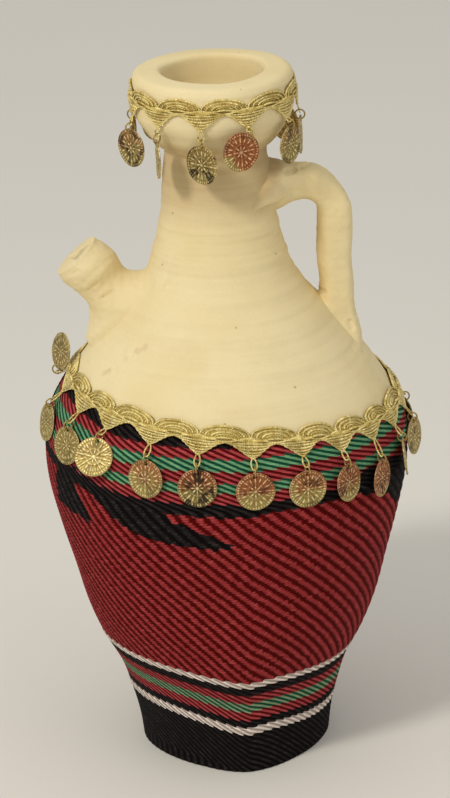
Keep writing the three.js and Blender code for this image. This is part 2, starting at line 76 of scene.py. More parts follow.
camera_data = bpy.data.cameras.new("camera")
camera_data.sensor_width = SENSOR
camera_data.lens = FOCAL_PIXELS * SENSOR / PICTURE_HEIGHT
camera = bpy.data.objects.new("camera", camera_data)
bpy.context.scene.collection.objects.link(camera)
aim = Matrix.Rotation(math.pi / 2 - CAMERA_PITCH, 4, "X") @ Matrix.Rotation(-CAMERA_ROLL, 4, "Z")
camera.matrix_world = Matrix.Translation(CAMERA_PLACE) @ aim
bpy.context.scene.camera = camera
bpy.context.scene.view_settings.view_transform = "Standard"
print("lens in mm:", round(camera_data.lens, 1))

# %% [markdown]
# ## Writing a finish
#
# A material here is a small sum of sockets. Wiring nodes by hand takes many lines, so a Wire wraps one
# output socket and takes part in ordinary sums: `height * 2 + 1` adds two Math nodes and links them. A
# Finish holds the material and has one method that makes any node: the type, then its settings, then its
# sockets.


# %% Wire and Finish
class Wire:
    """An output socket that can be added, multiplied and shaped like a number."""

    def __init__(self, finish, socket):
        self.finish = finish
        self.socket = socket

    def math(self, operation, *others):
        sockets = dict(enumerate((self,) + others))
        return self.finish.node("ShaderNodeMath", {"operation": operation}, sockets)

    def __add__(self, other):
        return self.math("ADD", other)

    def __sub__(self, other):
        return self.math("SUBTRACT", other)

    def __mul__(self, other):
        return self.math("MULTIPLY", other)

    def __truediv__(self, other):
        return self.math("DIVIDE", other)

    def __pow__(self, other):
        return self.math("POWER", other)

    def __rsub__(self, other):
        return self * -1 + other

    __radd__ = __add__
    __rmul__ = __mul__

    def fraction(self):
        return self.math("FRACT")

    def whole(self):
        return self.math("FLOOR")

    def size(self):
        return self.math("ABSOLUTE")

    def least(self, other):
        return self.math("MINIMUM", other)

    def most(self, other):
        return self.math("MAXIMUM", other)

    def step(self, low, high):
        """0 up to low, 1 from high, and a smooth rise between them; it falls where high is below low."""
        settings = {"interpolation_type": "SMOOTHSTEP"}
        return self.finish.node("ShaderNodeMapRange", settings, {0: self, 1: low, 2: high})


class Finish:
    """A procedural material, written as sums of wires and ended by its shader."""

    def __init__(self, name):
        self.material = bpy.data.materials.new(name)
        self.material.use_nodes = True
        self.tree = self.material.node_tree
        self.tree.nodes.clear()

    def node(self, kind, settings=None, sockets=None, out=0):
        made = self.tree.nodes.new(kind)
        for name, value in (settings or {}).items():
            setattr(made, name, value)
        for name, value in (sockets or {}).items():
            if isinstance(value, Wire):
                self.tree.links.new(value.socket, made.inputs[name])
            else:
                made.inputs[name].default_value = value
        return Wire(self, made.outputs[out])

    def place(self):
        """The three coordinates on the object, in metres, and the vector that holds them."""
        vector = self.node("ShaderNodeTexCoord", out="Object")
        split = self.node("ShaderNodeSeparateXYZ", None, {0: vector})
        outputs = split.socket.node.outputs
        return [Wire(self, outputs[i]) for i in range(3)] + [vector]

    def attribute(self, name):
        """A number that was stored on the piece's vertices."""
        return self.node("ShaderNodeAttribute", {"attribute_name": name}, out="Fac")

    def point(self, x, y, z=0.0):
        return self.node("ShaderNodeCombineXYZ", None, {0: x, 1: y, 2: z})

    def cloud(self, vector, scale, detail=3.0, rough=0.55):
        """Noise from 0 to 1."""
        return self.node("ShaderNodeTexNoise", None, {
            "Vector": vector, "Scale": scale, "Detail": detail, "Roughness": rough,
        })

    def blend(self, share, first, second):
        """A colour between two colours, each a wire or three numbers."""
        colours = [c if isinstance(c, Wire) else (*c, 1) for c in (first, second)]
        return self.node("ShaderNodeMix", {"data_type": "RGBA"}, {
            0: share, 6: colours[0], 7: colours[1],
        }, out=2)

    def brighter(self, colour, times):
        return self.node("ShaderNodeVectorMath", {"operation": "SCALE"}, {0: colour, 3: times})

    def bump(self, height, depth, strength=1.0):
        """A normal from a height of 0 to 1 that stands for a depth in metres."""
        return self.node("ShaderNodeBump", None, {
            "Strength": strength, "Distance": depth, "Height": height,
        })

    def surface(self, **sockets):
        """Ends the finish with its shader. A constant is set straight on the shader's own socket."""
        shader = self.node("ShaderNodeBsdfPrincipled", None, {
            name.replace("_", " "): value for name, value in sockets.items()
        }, out=0)
        end = self.tree.nodes.new("ShaderNodeOutputMaterial")
        self.tree.links.new(shader.socket, end.inputs[0])
        return self.material


# %% [markdown]
# ## The table and the light
#
# The jug stands on a plain pale floor that runs far back, so it also makes the background. The photograph's
# light is warm and comes from the upper left and the front, and the right side is dimmer. One soft square
# lamp gives that and a far weaker one lifts the right side. A pale sky that is brighter overhead fills the
# shadows and shows in the coins.

# %% Floor, lamps and sky
FLOOR_RADIUS = 5.0
DIM_SKY = 0.34  # at the horizon
BRIGHT_SKY = 0.72  # overhead

floor_finish = Finish("pale_floor")
x, y, z, here = floor_finish.place()
floor_tone = floor_finish.cloud(here, 3.0)
floor_material = floor_finish.surface(
    Base_Color=floor_finish.blend(floor_tone, (0.78, 0.755, 0.69), (0.82, 0.795, 0.73)),
    Roughness=0.9,
)
bm = bmesh.new()
bmesh.ops.create_circle(bm, cap_ends=True, segments=96, radius=FLOOR_RADIUS)
floor_mesh = bpy.data.meshes.new("floor")
bm.to_mesh(floor_mesh)
bm.free()
floor_mesh.materials.append(floor_material)
floor = bpy.data.objects.new("floor", floor_mesh)
bpy.context.scene.collection.objects.link(floor)


def soft_lamp(name, place, target, side, watts, tint):
    data = bpy.data.lights.new(name, "AREA")
    data.shape = "SQUARE"
    data.size = side
    data.energy = watts
    data.color = tint
    lamp = bpy.data.objects.new(name, data)
    lamp.location = place
    lamp.rotation_euler = (Vector(target) - Vector(place)).to_track_quat("-Z", "Y").to_euler()
    bpy.context.scene.collection.objects.link(lamp)


soft_lamp("key_lamp", (-0.95, -1.15, 1.5), (0, 0, 0.18), 0.32, 17.0, (1.0, 0.96, 0.88))
soft_lamp("fill_lamp", (1.1, -0.9, 0.9), (0, 0, 0.18), 0.8, 2.0, (1.0, 0.97, 0.92))

world = bpy.data.worlds.new("sky")
bpy.context.scene.world = world
world.use_nodes = True
sky = world.node_tree
sky.nodes.clear()
direction = sky.nodes.new("ShaderNodeTexCoord")
parts = sky.nodes.new("ShaderNodeSeparateXYZ")
ramp = sky.nodes.new("ShaderNodeMapRange")
glow = sky.nodes.new("ShaderNodeBackground")
end = sky.nodes.new("ShaderNodeOutputWorld")
sky.links.new(direction.outputs["Generated"], parts.inputs[0])
sky.links.new(parts.outputs["Z"], ramp.inputs[0])
ramp.inputs[3].default_value = DIM_SKY
ramp.inputs[4].default_value = BRIGHT_SKY
glow.inputs["Color"].default_value = (1.0, 0.98, 0.95, 1)
sky.links.new(ramp.outputs[0], glow.inputs["Strength"])
sky.links.new(glow.outputs[0], end.inputs[0])

# %% [markdown]
# ## Small helpers for every piece
#
# Places round the jug are given as an azimuth, a radius and a height, as a potter would. Azimuth 0 is the
# front and 90 is the handle's side. Round forms are spun from a chain of points. A form that is drawn out
# along a route starts as one capped ring, and each extrusion of the cap becomes the next ring.


# %% Helpers for places and pieces
def polar(azimuth, radius, height):
    angle = math.radians(azimuth)
    return Vector((radius * math.sin(angle), -radius * math.cos(angle), height)) * MM


def smoothstep(value, low, high):
    share = np.clip((np.asarray(value, float) - low) / (high - low), 0, 1)
    return share * share * (3 - 2 * share)


def lerp(start, end, share):
    return start + (end - start) * share


def round_angles(count):
    """Angles of points spread evenly round a circle, in radians."""
    return [2 * math.pi * i / count for i in range(count)]


def spun(points, axis, steps, join):
    """A chain of points spun once round an axis, as a bmesh. Vertices closer than join are merged."""
    bm = bmesh.new()
    chain = [bm.verts.new(point) for point in points]
    links = [bm.edges.new(pair) for pair in zip(chain, chain[1:])]
    bmesh.ops.spin(
        bm, geom=chain + links, cent=(0, 0, 0), axis=axis, angle=2 * math.pi, steps=steps, use_merge=True,
    )
    bmesh.ops.remove_doubles(bm, verts=bm.verts, dist=join)
    return bm


def spot_key(point):
    return tuple(round(c * 1e6) for c in point)


def draw_out(bm, rings):
    """Extrudes the cap of a circle along rings of points, and leaves a closed form. Returns its vertices."""
    circle = bmesh.ops.create_circle(bm, cap_ends=True, segments=len(rings[0]), radius=1)["verts"]
    cap = circle[0].link_faces[0]
    made = list(cap.verts)
    for vert, point in zip(made, rings[0]):
        vert.co = point
    order = {spot_key(point): i for i, point in enumerate(rings[0])}
    for ring in rings[1:]:
        grown = bmesh.ops.extrude_face_region(bm, geom=[cap])["geom"]
        cap = next(item for item in grown if isinstance(item, bmesh.types.BMFace))
        moved = [(vert, ring[order[spot_key(vert.co)]]) for vert in cap.verts]
        for vert, point in moved:
            vert.co = point
            made.append(vert)
        order = {spot_key(point): i for i, point in enumerate(ring)}
    return made


def mesh_as_is(bm, name):
    mesh = bpy.data.meshes.new(name)
    bm.to_mesh(mesh)
    bm.free()
    return mesh


def mesh_from(bm, name):
    """A bmesh as a mesh, with its faces turned outward."""
    bmesh.ops.recalc_face_normals(bm, faces=bm.faces)
    return mesh_as_is(bm, name)


def add_mesh(bm, mesh, place):
    """Adds a mesh to a bmesh, moved by a matrix."""
    first = len(bm.verts)
    bm.from_mesh(mesh)
    bm.verts.ensure_lookup_table()
    bmesh.ops.transform(bm, matrix=place, verts=bm.verts[first:])


def reshape(mesh, mapping):
    """Moves a mesh's vertices by a function of all their places at once."""
    spots = np.zeros(len(mesh.vertices) * 3)
    mesh.vertices.foreach_get("co", spots)
    mesh.vertices.foreach_set("co", mapping(spots.reshape(-1, 3)).ravel())
    mesh.update()


def add_piece(name, mesh, material, slot, body, *nodes):
    """Puts a finished mesh in the scene as a piece that rides on a body and stands for CAD nodes."""
    mesh.name = name
    mesh.materials.clear()
    mesh.materials.append(material)
    mesh.polygons.foreach_set("use_smooth", [True] * len(mesh.polygons))
    piece = bpy.data.objects.new(name, mesh)
    bpy.context.scene.collection.objects.link(piece)
    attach(piece, body)
    if nodes:
        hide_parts(*nodes)
    print(f"{name}: {len(mesh.polygons)} faces")
    return piece


def settled(mesh, *modifiers):
    """A mesh after modifiers, each given as a type and its settings."""
    helper = bpy.data.objects.new("helper", mesh)
    bpy.context.scene.collection.objects.link(helper)
    for kind, settings in modifiers:
        modifier = helper.modifiers.new(kind, kind)
        for name, value in settings.items():
            setattr(modifier, name, value)
    shown = helper.evaluated_get(bpy.context.evaluated_depsgraph_get())
    result = bpy.data.meshes.new_from_object(shown)
    bpy.data.objects.remove(helper)
    return result


# %% [markdown]
# ## The clay's outline
#
# A thrown jug is round, so one outline says almost everything about it. The same marks as in the CAD source
# are joined by the same smooth curve: foot, belly, shoulder, neck and collar. The hollow inside follows the
# outline at the thickness of the wall.

# %% Outline of the clay
FOOT_RADIUS = 37
BELLY_RADIUS = 75.5
BELLY_HEIGHT = 140
NECK_FOOT_RADIUS = 35.9
NECK_FOOT_HEIGHT = 207
NECK_RADIUS = 21.7
NECK_TOP_HEIGHT = 267
COLLAR_RADIUS = 33.3
JUG_HEIGHT = 300
LIP_ROUND = 3.5
LIP_EDGE = 2.4
MOUTH_RADIUS = 21
MOUTH_DEPTH = 7
BODY_WALL = 6
NECK_WALL = 5
FLOOR_THICKNESS = 9


def stretch(low, high, start, finish, shares):
    return [(lerp(start, finish, out), lerp(low, high, up)) for up, out in shares]


marks = np.array([
    *stretch(0, BELLY_HEIGHT, FOOT_RADIUS, BELLY_RADIUS, [
        (0, 0), (0.09, 0.04), (0.18, 0.115), (0.28, 0.225), (0.39, 0.425),
        (0.51, 0.61), (0.64, 0.755), (0.77, 0.88), (0.9, 0.98), (1, 1),
    ]),
    *stretch(BELLY_HEIGHT, NECK_FOOT_HEIGHT, BELLY_RADIUS, NECK_FOOT_RADIUS, [
        (0.14, 0.03), (0.28, 0.105), (0.46, 0.285), (0.64, 0.51), (0.82, 0.75), (1, 1),
    ]),
    *stretch(NECK_FOOT_HEIGHT, NECK_TOP_HEIGHT, NECK_FOOT_RADIUS, NECK_RADIUS, [
        (0.2, 0.465), (0.4, 0.725), (0.62, 0.86), (0.85, 0.95), (1, 1),
    ]),
    *stretch(NECK_TOP_HEIGHT, JUG_HEIGHT, NECK_RADIUS, COLLAR_RADIUS, [
        (0.13, 0.3), (0.3, 0.66), (0.48, 0.94), (0.64, 1), (0.8, 1),
    ]),
])


def joined_marks(count=800):
    """Points along the smooth curve through the marks."""
    t = np.linspace(0, len(marks) - 1, count)
    i = np.minimum(t.astype(int), len(marks) - 2)
    w = (t - i)[:, None]
    last = len(marks) - 1
    before, start, finish, after = (marks[np.clip(i + k, 0, last)] for k in (-1, 0, 1, 2))
    leave, arrive = (finish - before) / 2, (after - start) / 2
    cubic = (2 * start - 2 * finish + leave + arrive) * w**3
    square = (-3 * start + 3 * finish - 2 * leave - arrive) * w**2
    return cubic + square + leave * w + start


curve = joined_marks()


def clay_radius(height):
    return np.interp(height, curve[:, 1], curve[:, 0])


def hollow_radius(height):
    height = np.asarray(height, float)
    wall = lerp(BODY_WALL, NECK_WALL, smoothstep(height, BELLY_HEIGHT, NECK_FOOT_HEIGHT))
    bore = clay_radius(np.minimum(height, NECK_TOP_HEIGHT)) - wall
    return lerp(bore, MOUTH_RADIUS, smoothstep(height, NECK_TOP_HEIGHT, JUG_HEIGHT - MOUTH_DEPTH))


print("widest clay radius:", round(float(clay_radius(BELLY_HEIGHT)), 1))

# %% [markdown]
# ## The thrown body
#
# The outline is drawn as a chain of vertices and spun once round the axis, outside and inside in one go,
# so the vessel has its real wall. Fingers leave throwing lines: low ridges that climb as a spiral while the
# wheel turns. They are real waves in the mesh, because a rim or a neck seen from the side shows them in its
# edge. Below the braid they fade out, since cloth is glued over them there, and on the neck they are lower,
# so that the collar's coins swing clear of them. The rim is uneven and stands a little higher at the back.

# %% Throwing lines
THROWING_WAVES = (  # wavelength in mm, depth in mm, turns of the spiral, start
    (2.6, 0.05, 1, 0.3), (3.9, 0.08, -1, 1.9), (6.3, 0.11, 1, 4.1), (12.5, 0.17, 0, 2.2),
    (27.0, 0.22, 0, 5.1),
)
BARE_CLAY_FROM = (166, 186)  # the heights between which the lines come in, in mm
COINS_FROM = (236, 248)
COINS_UP_TO = (296, 284)
COIN_ROOM = 0.3
GROOVE_HEIGHT = 269
GROOVE_DEPTH = 0.75
GROOVE_HALF_WIDTH = 1.1


def throwing_lines(height, azimuth):
    """How far the clay stands out at a height, in mm, for an azimuth in radians."""
    total = np.zeros_like(height)
    for wave, depth, turns, start in THROWING_WAVES:
        total += depth * np.sin(2 * math.pi * height / wave + turns * azimuth + start)
    wobble = 0.35 * np.sin(2 * azimuth + height / 40) + 0.2 * np.sin(3 * azimuth - height / 25 + 1)
    from_groove = (height - GROOVE_HEIGHT - 0.4 * np.sin(2 * azimuth)) / GROOVE_HALF_WIDTH
    groove = GROOVE_DEPTH * np.exp(-(from_groove ** 2))
    beside_coins = smoothstep(height, *COINS_FROM) * smoothstep(height, *COINS_UP_TO)
    shown = smoothstep(height, *BARE_CLAY_FROM) * (1 - 0.55 * beside_coins)
    return (total + wobble) * shown - groove - COIN_ROOM * beside_coins


# %% Body of the jug
BODY_STEPS = 168
CLOTHED_STEP, BARE_STEP = 3.0, 0.9  # between rings of the outside, in mm
HOLLOW_STEP, MOUTH_STEP = 6.0, 1.2  # between rings of the inside
BARE_FOOT = 150
HOLLOW_TOP = 240
RIM_FROM = (292, 299)


def quarter(centre, radius, start, count):
    """Points on a quarter of a circle, from an angle of start quarters."""
    angles = [(start + i / count) * math.pi / 2 for i in range(1, count + 1)]
    return [(centre[0] + radius * math.cos(a), centre[1] + radius * math.sin(a)) for a in angles]


lip_foot = JUG_HEIGHT - LIP_ROUND
crest = MOUTH_RADIUS + LIP_EDGE
side_heights = [
    *np.arange(0, BARE_FOOT, CLOTHED_STEP), *np.arange(BARE_FOOT, lip_foot, BARE_STEP), lip_foot,
]
outside = [(float(clay_radius(h)), h) for h in side_heights]
lip = quarter((COLLAR_RADIUS - LIP_ROUND, lip_foot), LIP_ROUND, 0, 7)
lip += [(radius, JUG_HEIGHT) for radius in np.linspace(COLLAR_RADIUS - LIP_ROUND, crest, 6)[1:]]
lip += quarter((crest, JUG_HEIGHT - LIP_EDGE), LIP_EDGE, 1, 6)
inner_heights = [
    *np.arange(JUG_HEIGHT - LIP_EDGE - MOUTH_STEP, HOLLOW_TOP, -MOUTH_STEP),
    *np.arange(HOLLOW_TOP, FLOOR_THICKNESS, -HOLLOW_STEP),
]
inside = [(float(hollow_radius(h)), h) for h in inner_heights]
inside += [(float(hollow_radius(FLOOR_THICKNESS)) - 1, FLOOR_THICKNESS), (0, FLOOR_THICKNESS)]
body_outline = [(0, 0)] + outside + lip + inside

body_points = [(0, -radius * MM, height * MM) for radius, height in body_outline]
body_mesh = mesh_from(spun(body_points, (0, 0, 1), BODY_STEPS, JOIN), "jug_body_clay")


def thrown(spots):
    """The spun body's vertices, moved by the throwing lines and the uneven rim. The inside moves less."""
    radii = np.hypot(spots[:, 0], spots[:, 1]) / MM
    heights = spots[:, 2] / MM
    azimuths = np.arctan2(spots[:, 0], -spots[:, 1])
    out = throwing_lines(heights, azimuths)
    out[radii < hollow_radius(heights) + 1] *= 0.4
    out[radii < 1] = 0
    scale = 1 + out / np.maximum(radii, 1)
    spots[:, 0] *= scale
    spots[:, 1] *= scale
    lower = 0.3 * np.cos(azimuths) - 1.0 + 0.2 * np.sin(2 * azimuths + 0.8) + 0.1 * np.sin(5 * azimuths)
    domed = 0.35 * smoothstep(radii, 25, COLLAR_RADIUS)
    spots[:, 2] -= MM * smoothstep(heights, *RIM_FROM) * (lower + domed)
    return spots


reshape(body_mesh, thrown)
print("body height in mm:", round(max(vert.co.z for vert in body_mesh.vertices) / MM, 1))

# %% [markdown]
# ## The clay's finish
#
# The clay fired to a pale cream that turns to a warmer tan up the neck. Under the collar that tan is also
# painted shade: it darkens the neck where the collar shades it. Close up the clay is sandy, with dark
# specks, tiny pits and faint horizontal streaks from the potter's hand. All of it is worked out from the
# object's own coordinates, so it goes right round and keeps its size. Height is the useful coordinate: a
# noise that is stretched flat gives the streaks, and the tan with its painted shade is a slow step in height
# that another noise makes uneven. The distance from the axis keeps it off the handle and the collar. A few
# smears of dirt on the shoulder are placed one by one.

# %% Finish of the clay
# the neck's tan is partly the clay's own tone and partly painted shade under the collar
TAN_AND_SHADE_FROM = (232, 257)  # the heights between which the neck turns tan, in mm
TAN_AND_SHADE_UP_TO = (287, 272)
NECK_ONLY = (0.0295, 0.0255)  # from the axis, in metres
SMEARS = [
    polar(azimuth, float(clay_radius(height)), height)
    for azimuth, height in ((-60.2, 180.7), (-57.3, 182.5), (-50.4, 188.0), (-46.6, 191.7), (-42.9, 193.7))
]

clay = Finish("unglazed_cream_clay")
x, y, z, here = clay.place()
height = z / MM
slow = clay.cloud(here, 18.0, 4.0)
patches = clay.cloud(here, 60.0, 5.0, 0.6)
streaks = clay.cloud(clay.point(x * 6, y * 6, z * 330), 1.0, 4.0)
grain = clay.cloud(here, 1500.0, 2.0)
drift = (slow - 0.5) * 14 + (patches - 0.5) * 5
on_neck = (x * x + y * y).math("SQRT").step(*NECK_ONLY)
# painted shade: the neck under the collar turns a darker tan, partly the clay's own tone
neck_tan_and_shade = (height + drift * 0.5).step(*TAN_AND_SHADE_FROM) * (height + drift * 0.4).step(*TAN_AND_SHADE_UP_TO) * on_neck
warm = (neck_tan_and_shade * 0.9 + (streaks - 0.5) * 0.6 + (patches - 0.5) * 0.45).most(0.0).least(1.0)
cream = clay.blend(slow.step(0.35, 0.65), (0.8, 0.66, 0.36), (0.84, 0.72, 0.43))
toned = clay.blend(warm, cream, (0.6, 0.455, 0.24))
fine_tone = clay.blend(grain.step(0.56, 0.75) * 0.16, toned, (0.5, 0.37, 0.19))
cells = clay.node("ShaderNodeTexVoronoi", None, {"Vector": here, "Scale": 170.0})
rare = clay.node("ShaderNodeTexVoronoi", None, {"Vector": here, "Scale": 170.0}, out="Color")
luck = clay.node("ShaderNodeSeparateColor", None, {0: rare})
speck = cells.step(0.11, 0.05) * luck.step(0.84, 0.88)
specked = clay.blend(speck * 0.5, fine_tone, (0.2, 0.12, 0.06))
smears = 0.0
for place in SMEARS:
    away = clay.node("ShaderNodeVectorMath", {"operation": "DISTANCE"}, {0: here, 1: place}, out="Value")
    smears = away.step(0.0036, 0.0004) + smears
dirty = clay.blend((smears * patches).step(0.2, 0.6) * 0.3, specked, (0.45, 0.27, 0.16))
relief = streaks * 0.5 + patches * 0.25 + grain * 0.25 - speck * 0.8
clay_material = clay.surface(
    Base_Color=dirty,
    Roughness=patches * 0.14 + 0.8,
    Specular_IOR_Level=0.22,
    Normal=clay.bump(relief, 0.0006, 0.55),
)

# %% [markdown]
# ## The spout's hole
#
# The potter cut a hole through the shoulder before luting the spout over it, and pierced the spout's end.
# One stepped plug, spun round the spout's axis, cuts both: its wide part is the passage and its thin part
# the drinking hole.

# %% Passage through the wall and the spout
SPOUT_AZIMUTH = -90
SPOUT_ELEVATION = 50
SPOUT_ROOT_HEIGHT = 201
SPOUT_LENGTH = 29
SPOUT_END_RADIUS = 10.7
SPOUT_BULGE = 1.2
SPOUT_WAIST = 10.3
SPOUT_FLARE = 24
SPOUT_SIDE_FLARE = 14
SPOUT_BORE_RADIUS = 2.5
SPOUT_HOLLOW_RADIUS = 6.5
SPOUT_END_WALL = 4
PLUG_DEPTH = 22
PLUG_STEPS = 40

spout_root = polar(SPOUT_AZIMUTH, float(clay_radius(SPOUT_ROOT_HEIGHT)), SPOUT_ROOT_HEIGHT)
rising = math.radians(SPOUT_ELEVATION)
spout_axis = polar(SPOUT_AZIMUTH, math.cos(rising), math.sin(rising)) / MM
spout_side = polar(SPOUT_AZIMUTH + 90, 1, 0) / MM
spout_up = spout_side.cross(spout_axis)
spout_turn = Matrix((spout_up, spout_side, spout_axis)).transposed().to_4x4()
along_spout = Matrix.Translation(spout_root) @ spout_turn


def passage_plug(high):
    """The plug as a mesh, from deep in the jug up to a height along the spout."""
    ceiling = SPOUT_LENGTH - SPOUT_END_WALL
    shoulder = ceiling - SPOUT_HOLLOW_RADIUS
    outline = [(0, -PLUG_DEPTH), (SPOUT_HOLLOW_RADIUS, -PLUG_DEPTH)]
    outline.append((SPOUT_HOLLOW_RADIUS, min(shoulder, high)))
    if high > ceiling:
        outline += [(SPOUT_BORE_RADIUS, ceiling), (SPOUT_BORE_RADIUS, high)]
    outline.append((0, outline[-1][1]))
    bm = spun([(radius * MM, 0, height * MM) for radius, height in outline], (0, 0, 1), PLUG_STEPS, JOIN)
    bmesh.ops.transform(bm, matrix=along_spout, verts=bm.verts)
    return mesh_from(bm, "plug")


def cut(mesh, plug):
    """A mesh with the plug's form taken out of it."""
    tool = bpy.data.objects.new("plug", plug)
    bpy.context.scene.collection.objects.link(tool)
    result = settled(mesh, ("BOOLEAN", {"operation": "DIFFERENCE", "object": tool, "solver": "EXACT"}))
    bpy.data.objects.remove(tool)
    return result


body_mesh = cut(body_mesh, passage_plug(10))
add_piece("jug_body_clay", body_mesh, clay_material, "clay", "jug", "jug_body")

# %% [markdown]
# ## Luting: how the spout and the handle meet the body
#
# The potter pressed soft clay on and smeared its edge into the wall, so no hard line shows. The forms are
# drawn out as rings, and a thin hidden slab that follows the wall is added under each root. A voxel remesh
# joins them into one skin, and smoothing that skin fills the corner between root and slab, as a wet thumb
# does. Slow noise then moves the skin a little, because these pieces were shaped by hand, and a finer noise
# makes it rough. The few dents and creases that a thumb left are pressed in last, each along a short line.


# %% Luted pieces
WORKED_SIDE = Vector((0, -0.932, 0.363))
VOXEL = 0.72
REMESH = ("REMESH", {"mode": "VOXEL", "voxel_size": VOXEL * MM})


def squarer(value, power):
    """A cosine or sine brought nearer to 1 or -1, which turns a circle into a rounded square."""
    return math.copysign(abs(value) ** power, value)


def wall_slab(bm, low, high, azimuth, half_angle, sink=0.45, depth=3.0):
    """A closed slab that follows the clay's wall just under its surface."""
    heights = np.linspace(low, high, 24)
    outer = [(float(clay_radius(h)) - sink, h) for h in heights]
    inner = [(float(clay_radius(h)) - sink - depth, h) for h in reversed(heights)]
    verts = [bm.verts.new(polar(azimuth - half_angle, r, h)) for r, h in outer + inner]
    face = bm.faces.new(verts)
    bmesh.ops.spin(
        bm, geom=[face], cent=(0, 0, 0), axis=(0, 0, 1),
        angle=math.radians(2 * half_angle), steps=36, use_duplicate=False,
    )


def hand_shaped(mesh, depth, size, seed):
    """Moves a skin along its normals by noise, depth and size in mm."""
    normals = [v.normal.copy() for v in mesh.vertices]
    for vert, normal in zip(mesh.vertices, normals):
        spot = vert.co / (size * MM) + Vector((seed, seed, seed))
        vert.co += normal * depth * MM * noise.noise(spot)
    return mesh


def pressed(mesh, marks):
    """Presses dents and grooves into the front: from, to, half width and depth of each, in mm."""
    def flattened(point):
        return point - WORKED_SIDE * point.dot(WORKED_SIDE)

    for start, end, width, depth in marks:
        start, end = flattened(Vector(start) * MM), flattened(Vector(end) * MM)
        along = end - start
        for vert in mesh.vertices:
            spot = flattened(vert.co) - start
            share = min(max(spot.dot(along) / along.length_squared, 0), 1)
            away = (spot - along * share).length / (width * MM)
            if away < 1 and vert.normal.dot(WORKED_SIDE) > 0.05:
                vert.co -= vert.normal * depth * MM * (1 - away * away) ** 2
    return mesh


# %% Spout
SPOUT_SIDES = 36


def spout_ring(share):
    spread = float(1 - smoothstep(share, -0.1, 0.4)) ** 1.2
    belly = SPOUT_END_RADIUS + SPOUT_BULGE
    swell = lerp(SPOUT_WAIST, belly, float(smoothstep(share, 0.45, 0.7)))
    swell = lerp(swell, SPOUT_END_RADIUS, float(smoothstep(share, 0.84, 1.0)))
    ring = []
    for angle in round_angles(SPOUT_SIDES):
        tall = lerp(swell, SPOUT_FLARE, spread) * math.cos(angle)
        wide = lerp(swell, SPOUT_SIDE_FLARE, spread) * math.sin(angle)
        ring.append(along_spout @ (Vector((tall, wide, share * SPOUT_LENGTH)) * MM))
    return ring


def sliced(mesh, place, direction):
    """Cuts off what lies beyond a plane, as with a knife, and softens the new edge a little."""
    bm = bmesh.new()
    bm.from_mesh(mesh)
    everything = bm.verts[:] + bm.edges[:] + bm.faces[:]
    made = bmesh.ops.bisect_plane(
        bm, geom=everything, plane_co=place, plane_no=direction, clear_outer=True,
    )["geom_cut"]
    rim = [item for item in made if isinstance(item, bmesh.types.BMEdge)]
    bmesh.ops.holes_fill(bm, edges=rim, sides=0)
    bmesh.ops.bevel(
        bm, geom=[edge for edge in rim if edge.is_valid], offset=0.5 * MM, affect="EDGES", segments=2,
        profile=0.5, material=-1, clamp_overlap=True,
    )
    return mesh_from(bm, mesh.name)


bm = bmesh.new()
draw_out(bm, [spout_ring(share) for share in [-0.55, -0.3] + [i / 20 for i in range(24)]])
wall_slab(bm, low=172, high=232, azimuth=SPOUT_AZIMUTH, half_angle=42)
spout_mesh = settled(mesh_from(bm, "spout"), REMESH, ("SMOOTH", {"factor": 0.5, "iterations": 8}))
spout_mesh = hand_shaped(spout_mesh, depth=1.3, size=11.0, seed=3.1)
spout_mesh = hand_shaped(spout_mesh, depth=0.22, size=2.4, seed=5.3)
spout_mesh = sliced(spout_mesh, spout_root + spout_axis * SPOUT_LENGTH * MM, spout_axis)
spout_mesh = cut(spout_mesh, passage_plug(SPOUT_LENGTH + 8))
spout_mesh = pressed(spout_mesh, [
    ((-49.6, -11, 207.2), (-44.6, -11, 210.1), 0.9, 0.8),
    ((-54.9, -10, 210.9), (-50.6, -11, 214.1), 0.8, 0.35),
    ((-60.5, -10, 218.5), (-58.5, -10, 219.5), 0.7, 0.5),
    ((-57, -10, 213.5), (-46, -11, 224), 1.6, 0.3),
])
add_piece("spout_clay", spout_mesh, clay_material, "clay", "jug", "spout")

# %% Handle
HANDLE_AZIMUTH = 97
HANDLE_REACH = 55.5
HANDLE_CREST = 257
HANDLE_THICKNESS = 13.5
HANDLE_WIDTH = 18
HANDLE_BEND = 14
HANDLE_ROOT_SPREAD = 1.45
HANDLE_SIDES = 28
STRAP_POWER = 0.55


def strap_ring(centre, travel, half_thickness, half_width):
    across = polar(HANDLE_AZIMUTH + 90, 1, 0) / MM
    out = travel.cross(across)
    ring = []
    for angle in round_angles(HANDLE_SIDES):
        wide, thick = squarer(math.cos(angle), STRAP_POWER), squarer(math.sin(angle), STRAP_POWER)
        ring.append(centre + (across * half_width * wide + out * half_thickness * thick) * MM)
    return ring


def strap_rings():
    reach = HANDLE_REACH - HANDLE_THICKNESS / 2
    crest = HANDLE_CREST - HANDLE_THICKNESS / 2
    corner = reach - HANDLE_BEND
    landing = crest
    while clay_radius(landing) < reach:
        landing -= 1
    route = [(lerp(NECK_RADIUS - 3, corner, share), crest) for share in (0, 0.25, 0.5, 0.75)]
    for i in range(9):
        angle = math.pi / 2 * (1 - i / 8)
        route.append((corner + HANDLE_BEND * math.cos(angle), crest - HANDLE_BEND * (1 - math.sin(angle))))
    foot = landing - HANDLE_THICKNESS * 0.8
    route += [(reach, lerp(crest - HANDLE_BEND, foot, share)) for share in np.linspace(0.1, 1, 12)]
    centres = [polar(HANDLE_AZIMUTH, radius, height) for radius, height in route]
    rings = []
    for i, (radius, height) in enumerate(route):
        travel = (centres[min(i + 1, len(route) - 1)] - centres[max(i - 1, 0)]).normalized()
        near_neck = 1 - float(smoothstep(radius, NECK_RADIUS, corner))
        near_wall = 1 - float(smoothstep(height, landing - HANDLE_THICKNESS, landing + HANDLE_THICKNESS))
        spread = lerp(1, HANDLE_ROOT_SPREAD, max(near_neck, near_wall))
        half_thickness, half_width = spread * HANDLE_THICKNESS / 2, spread * HANDLE_WIDTH / 2
        rings.append(strap_ring(centres[i], travel, half_thickness, half_width))
    return rings


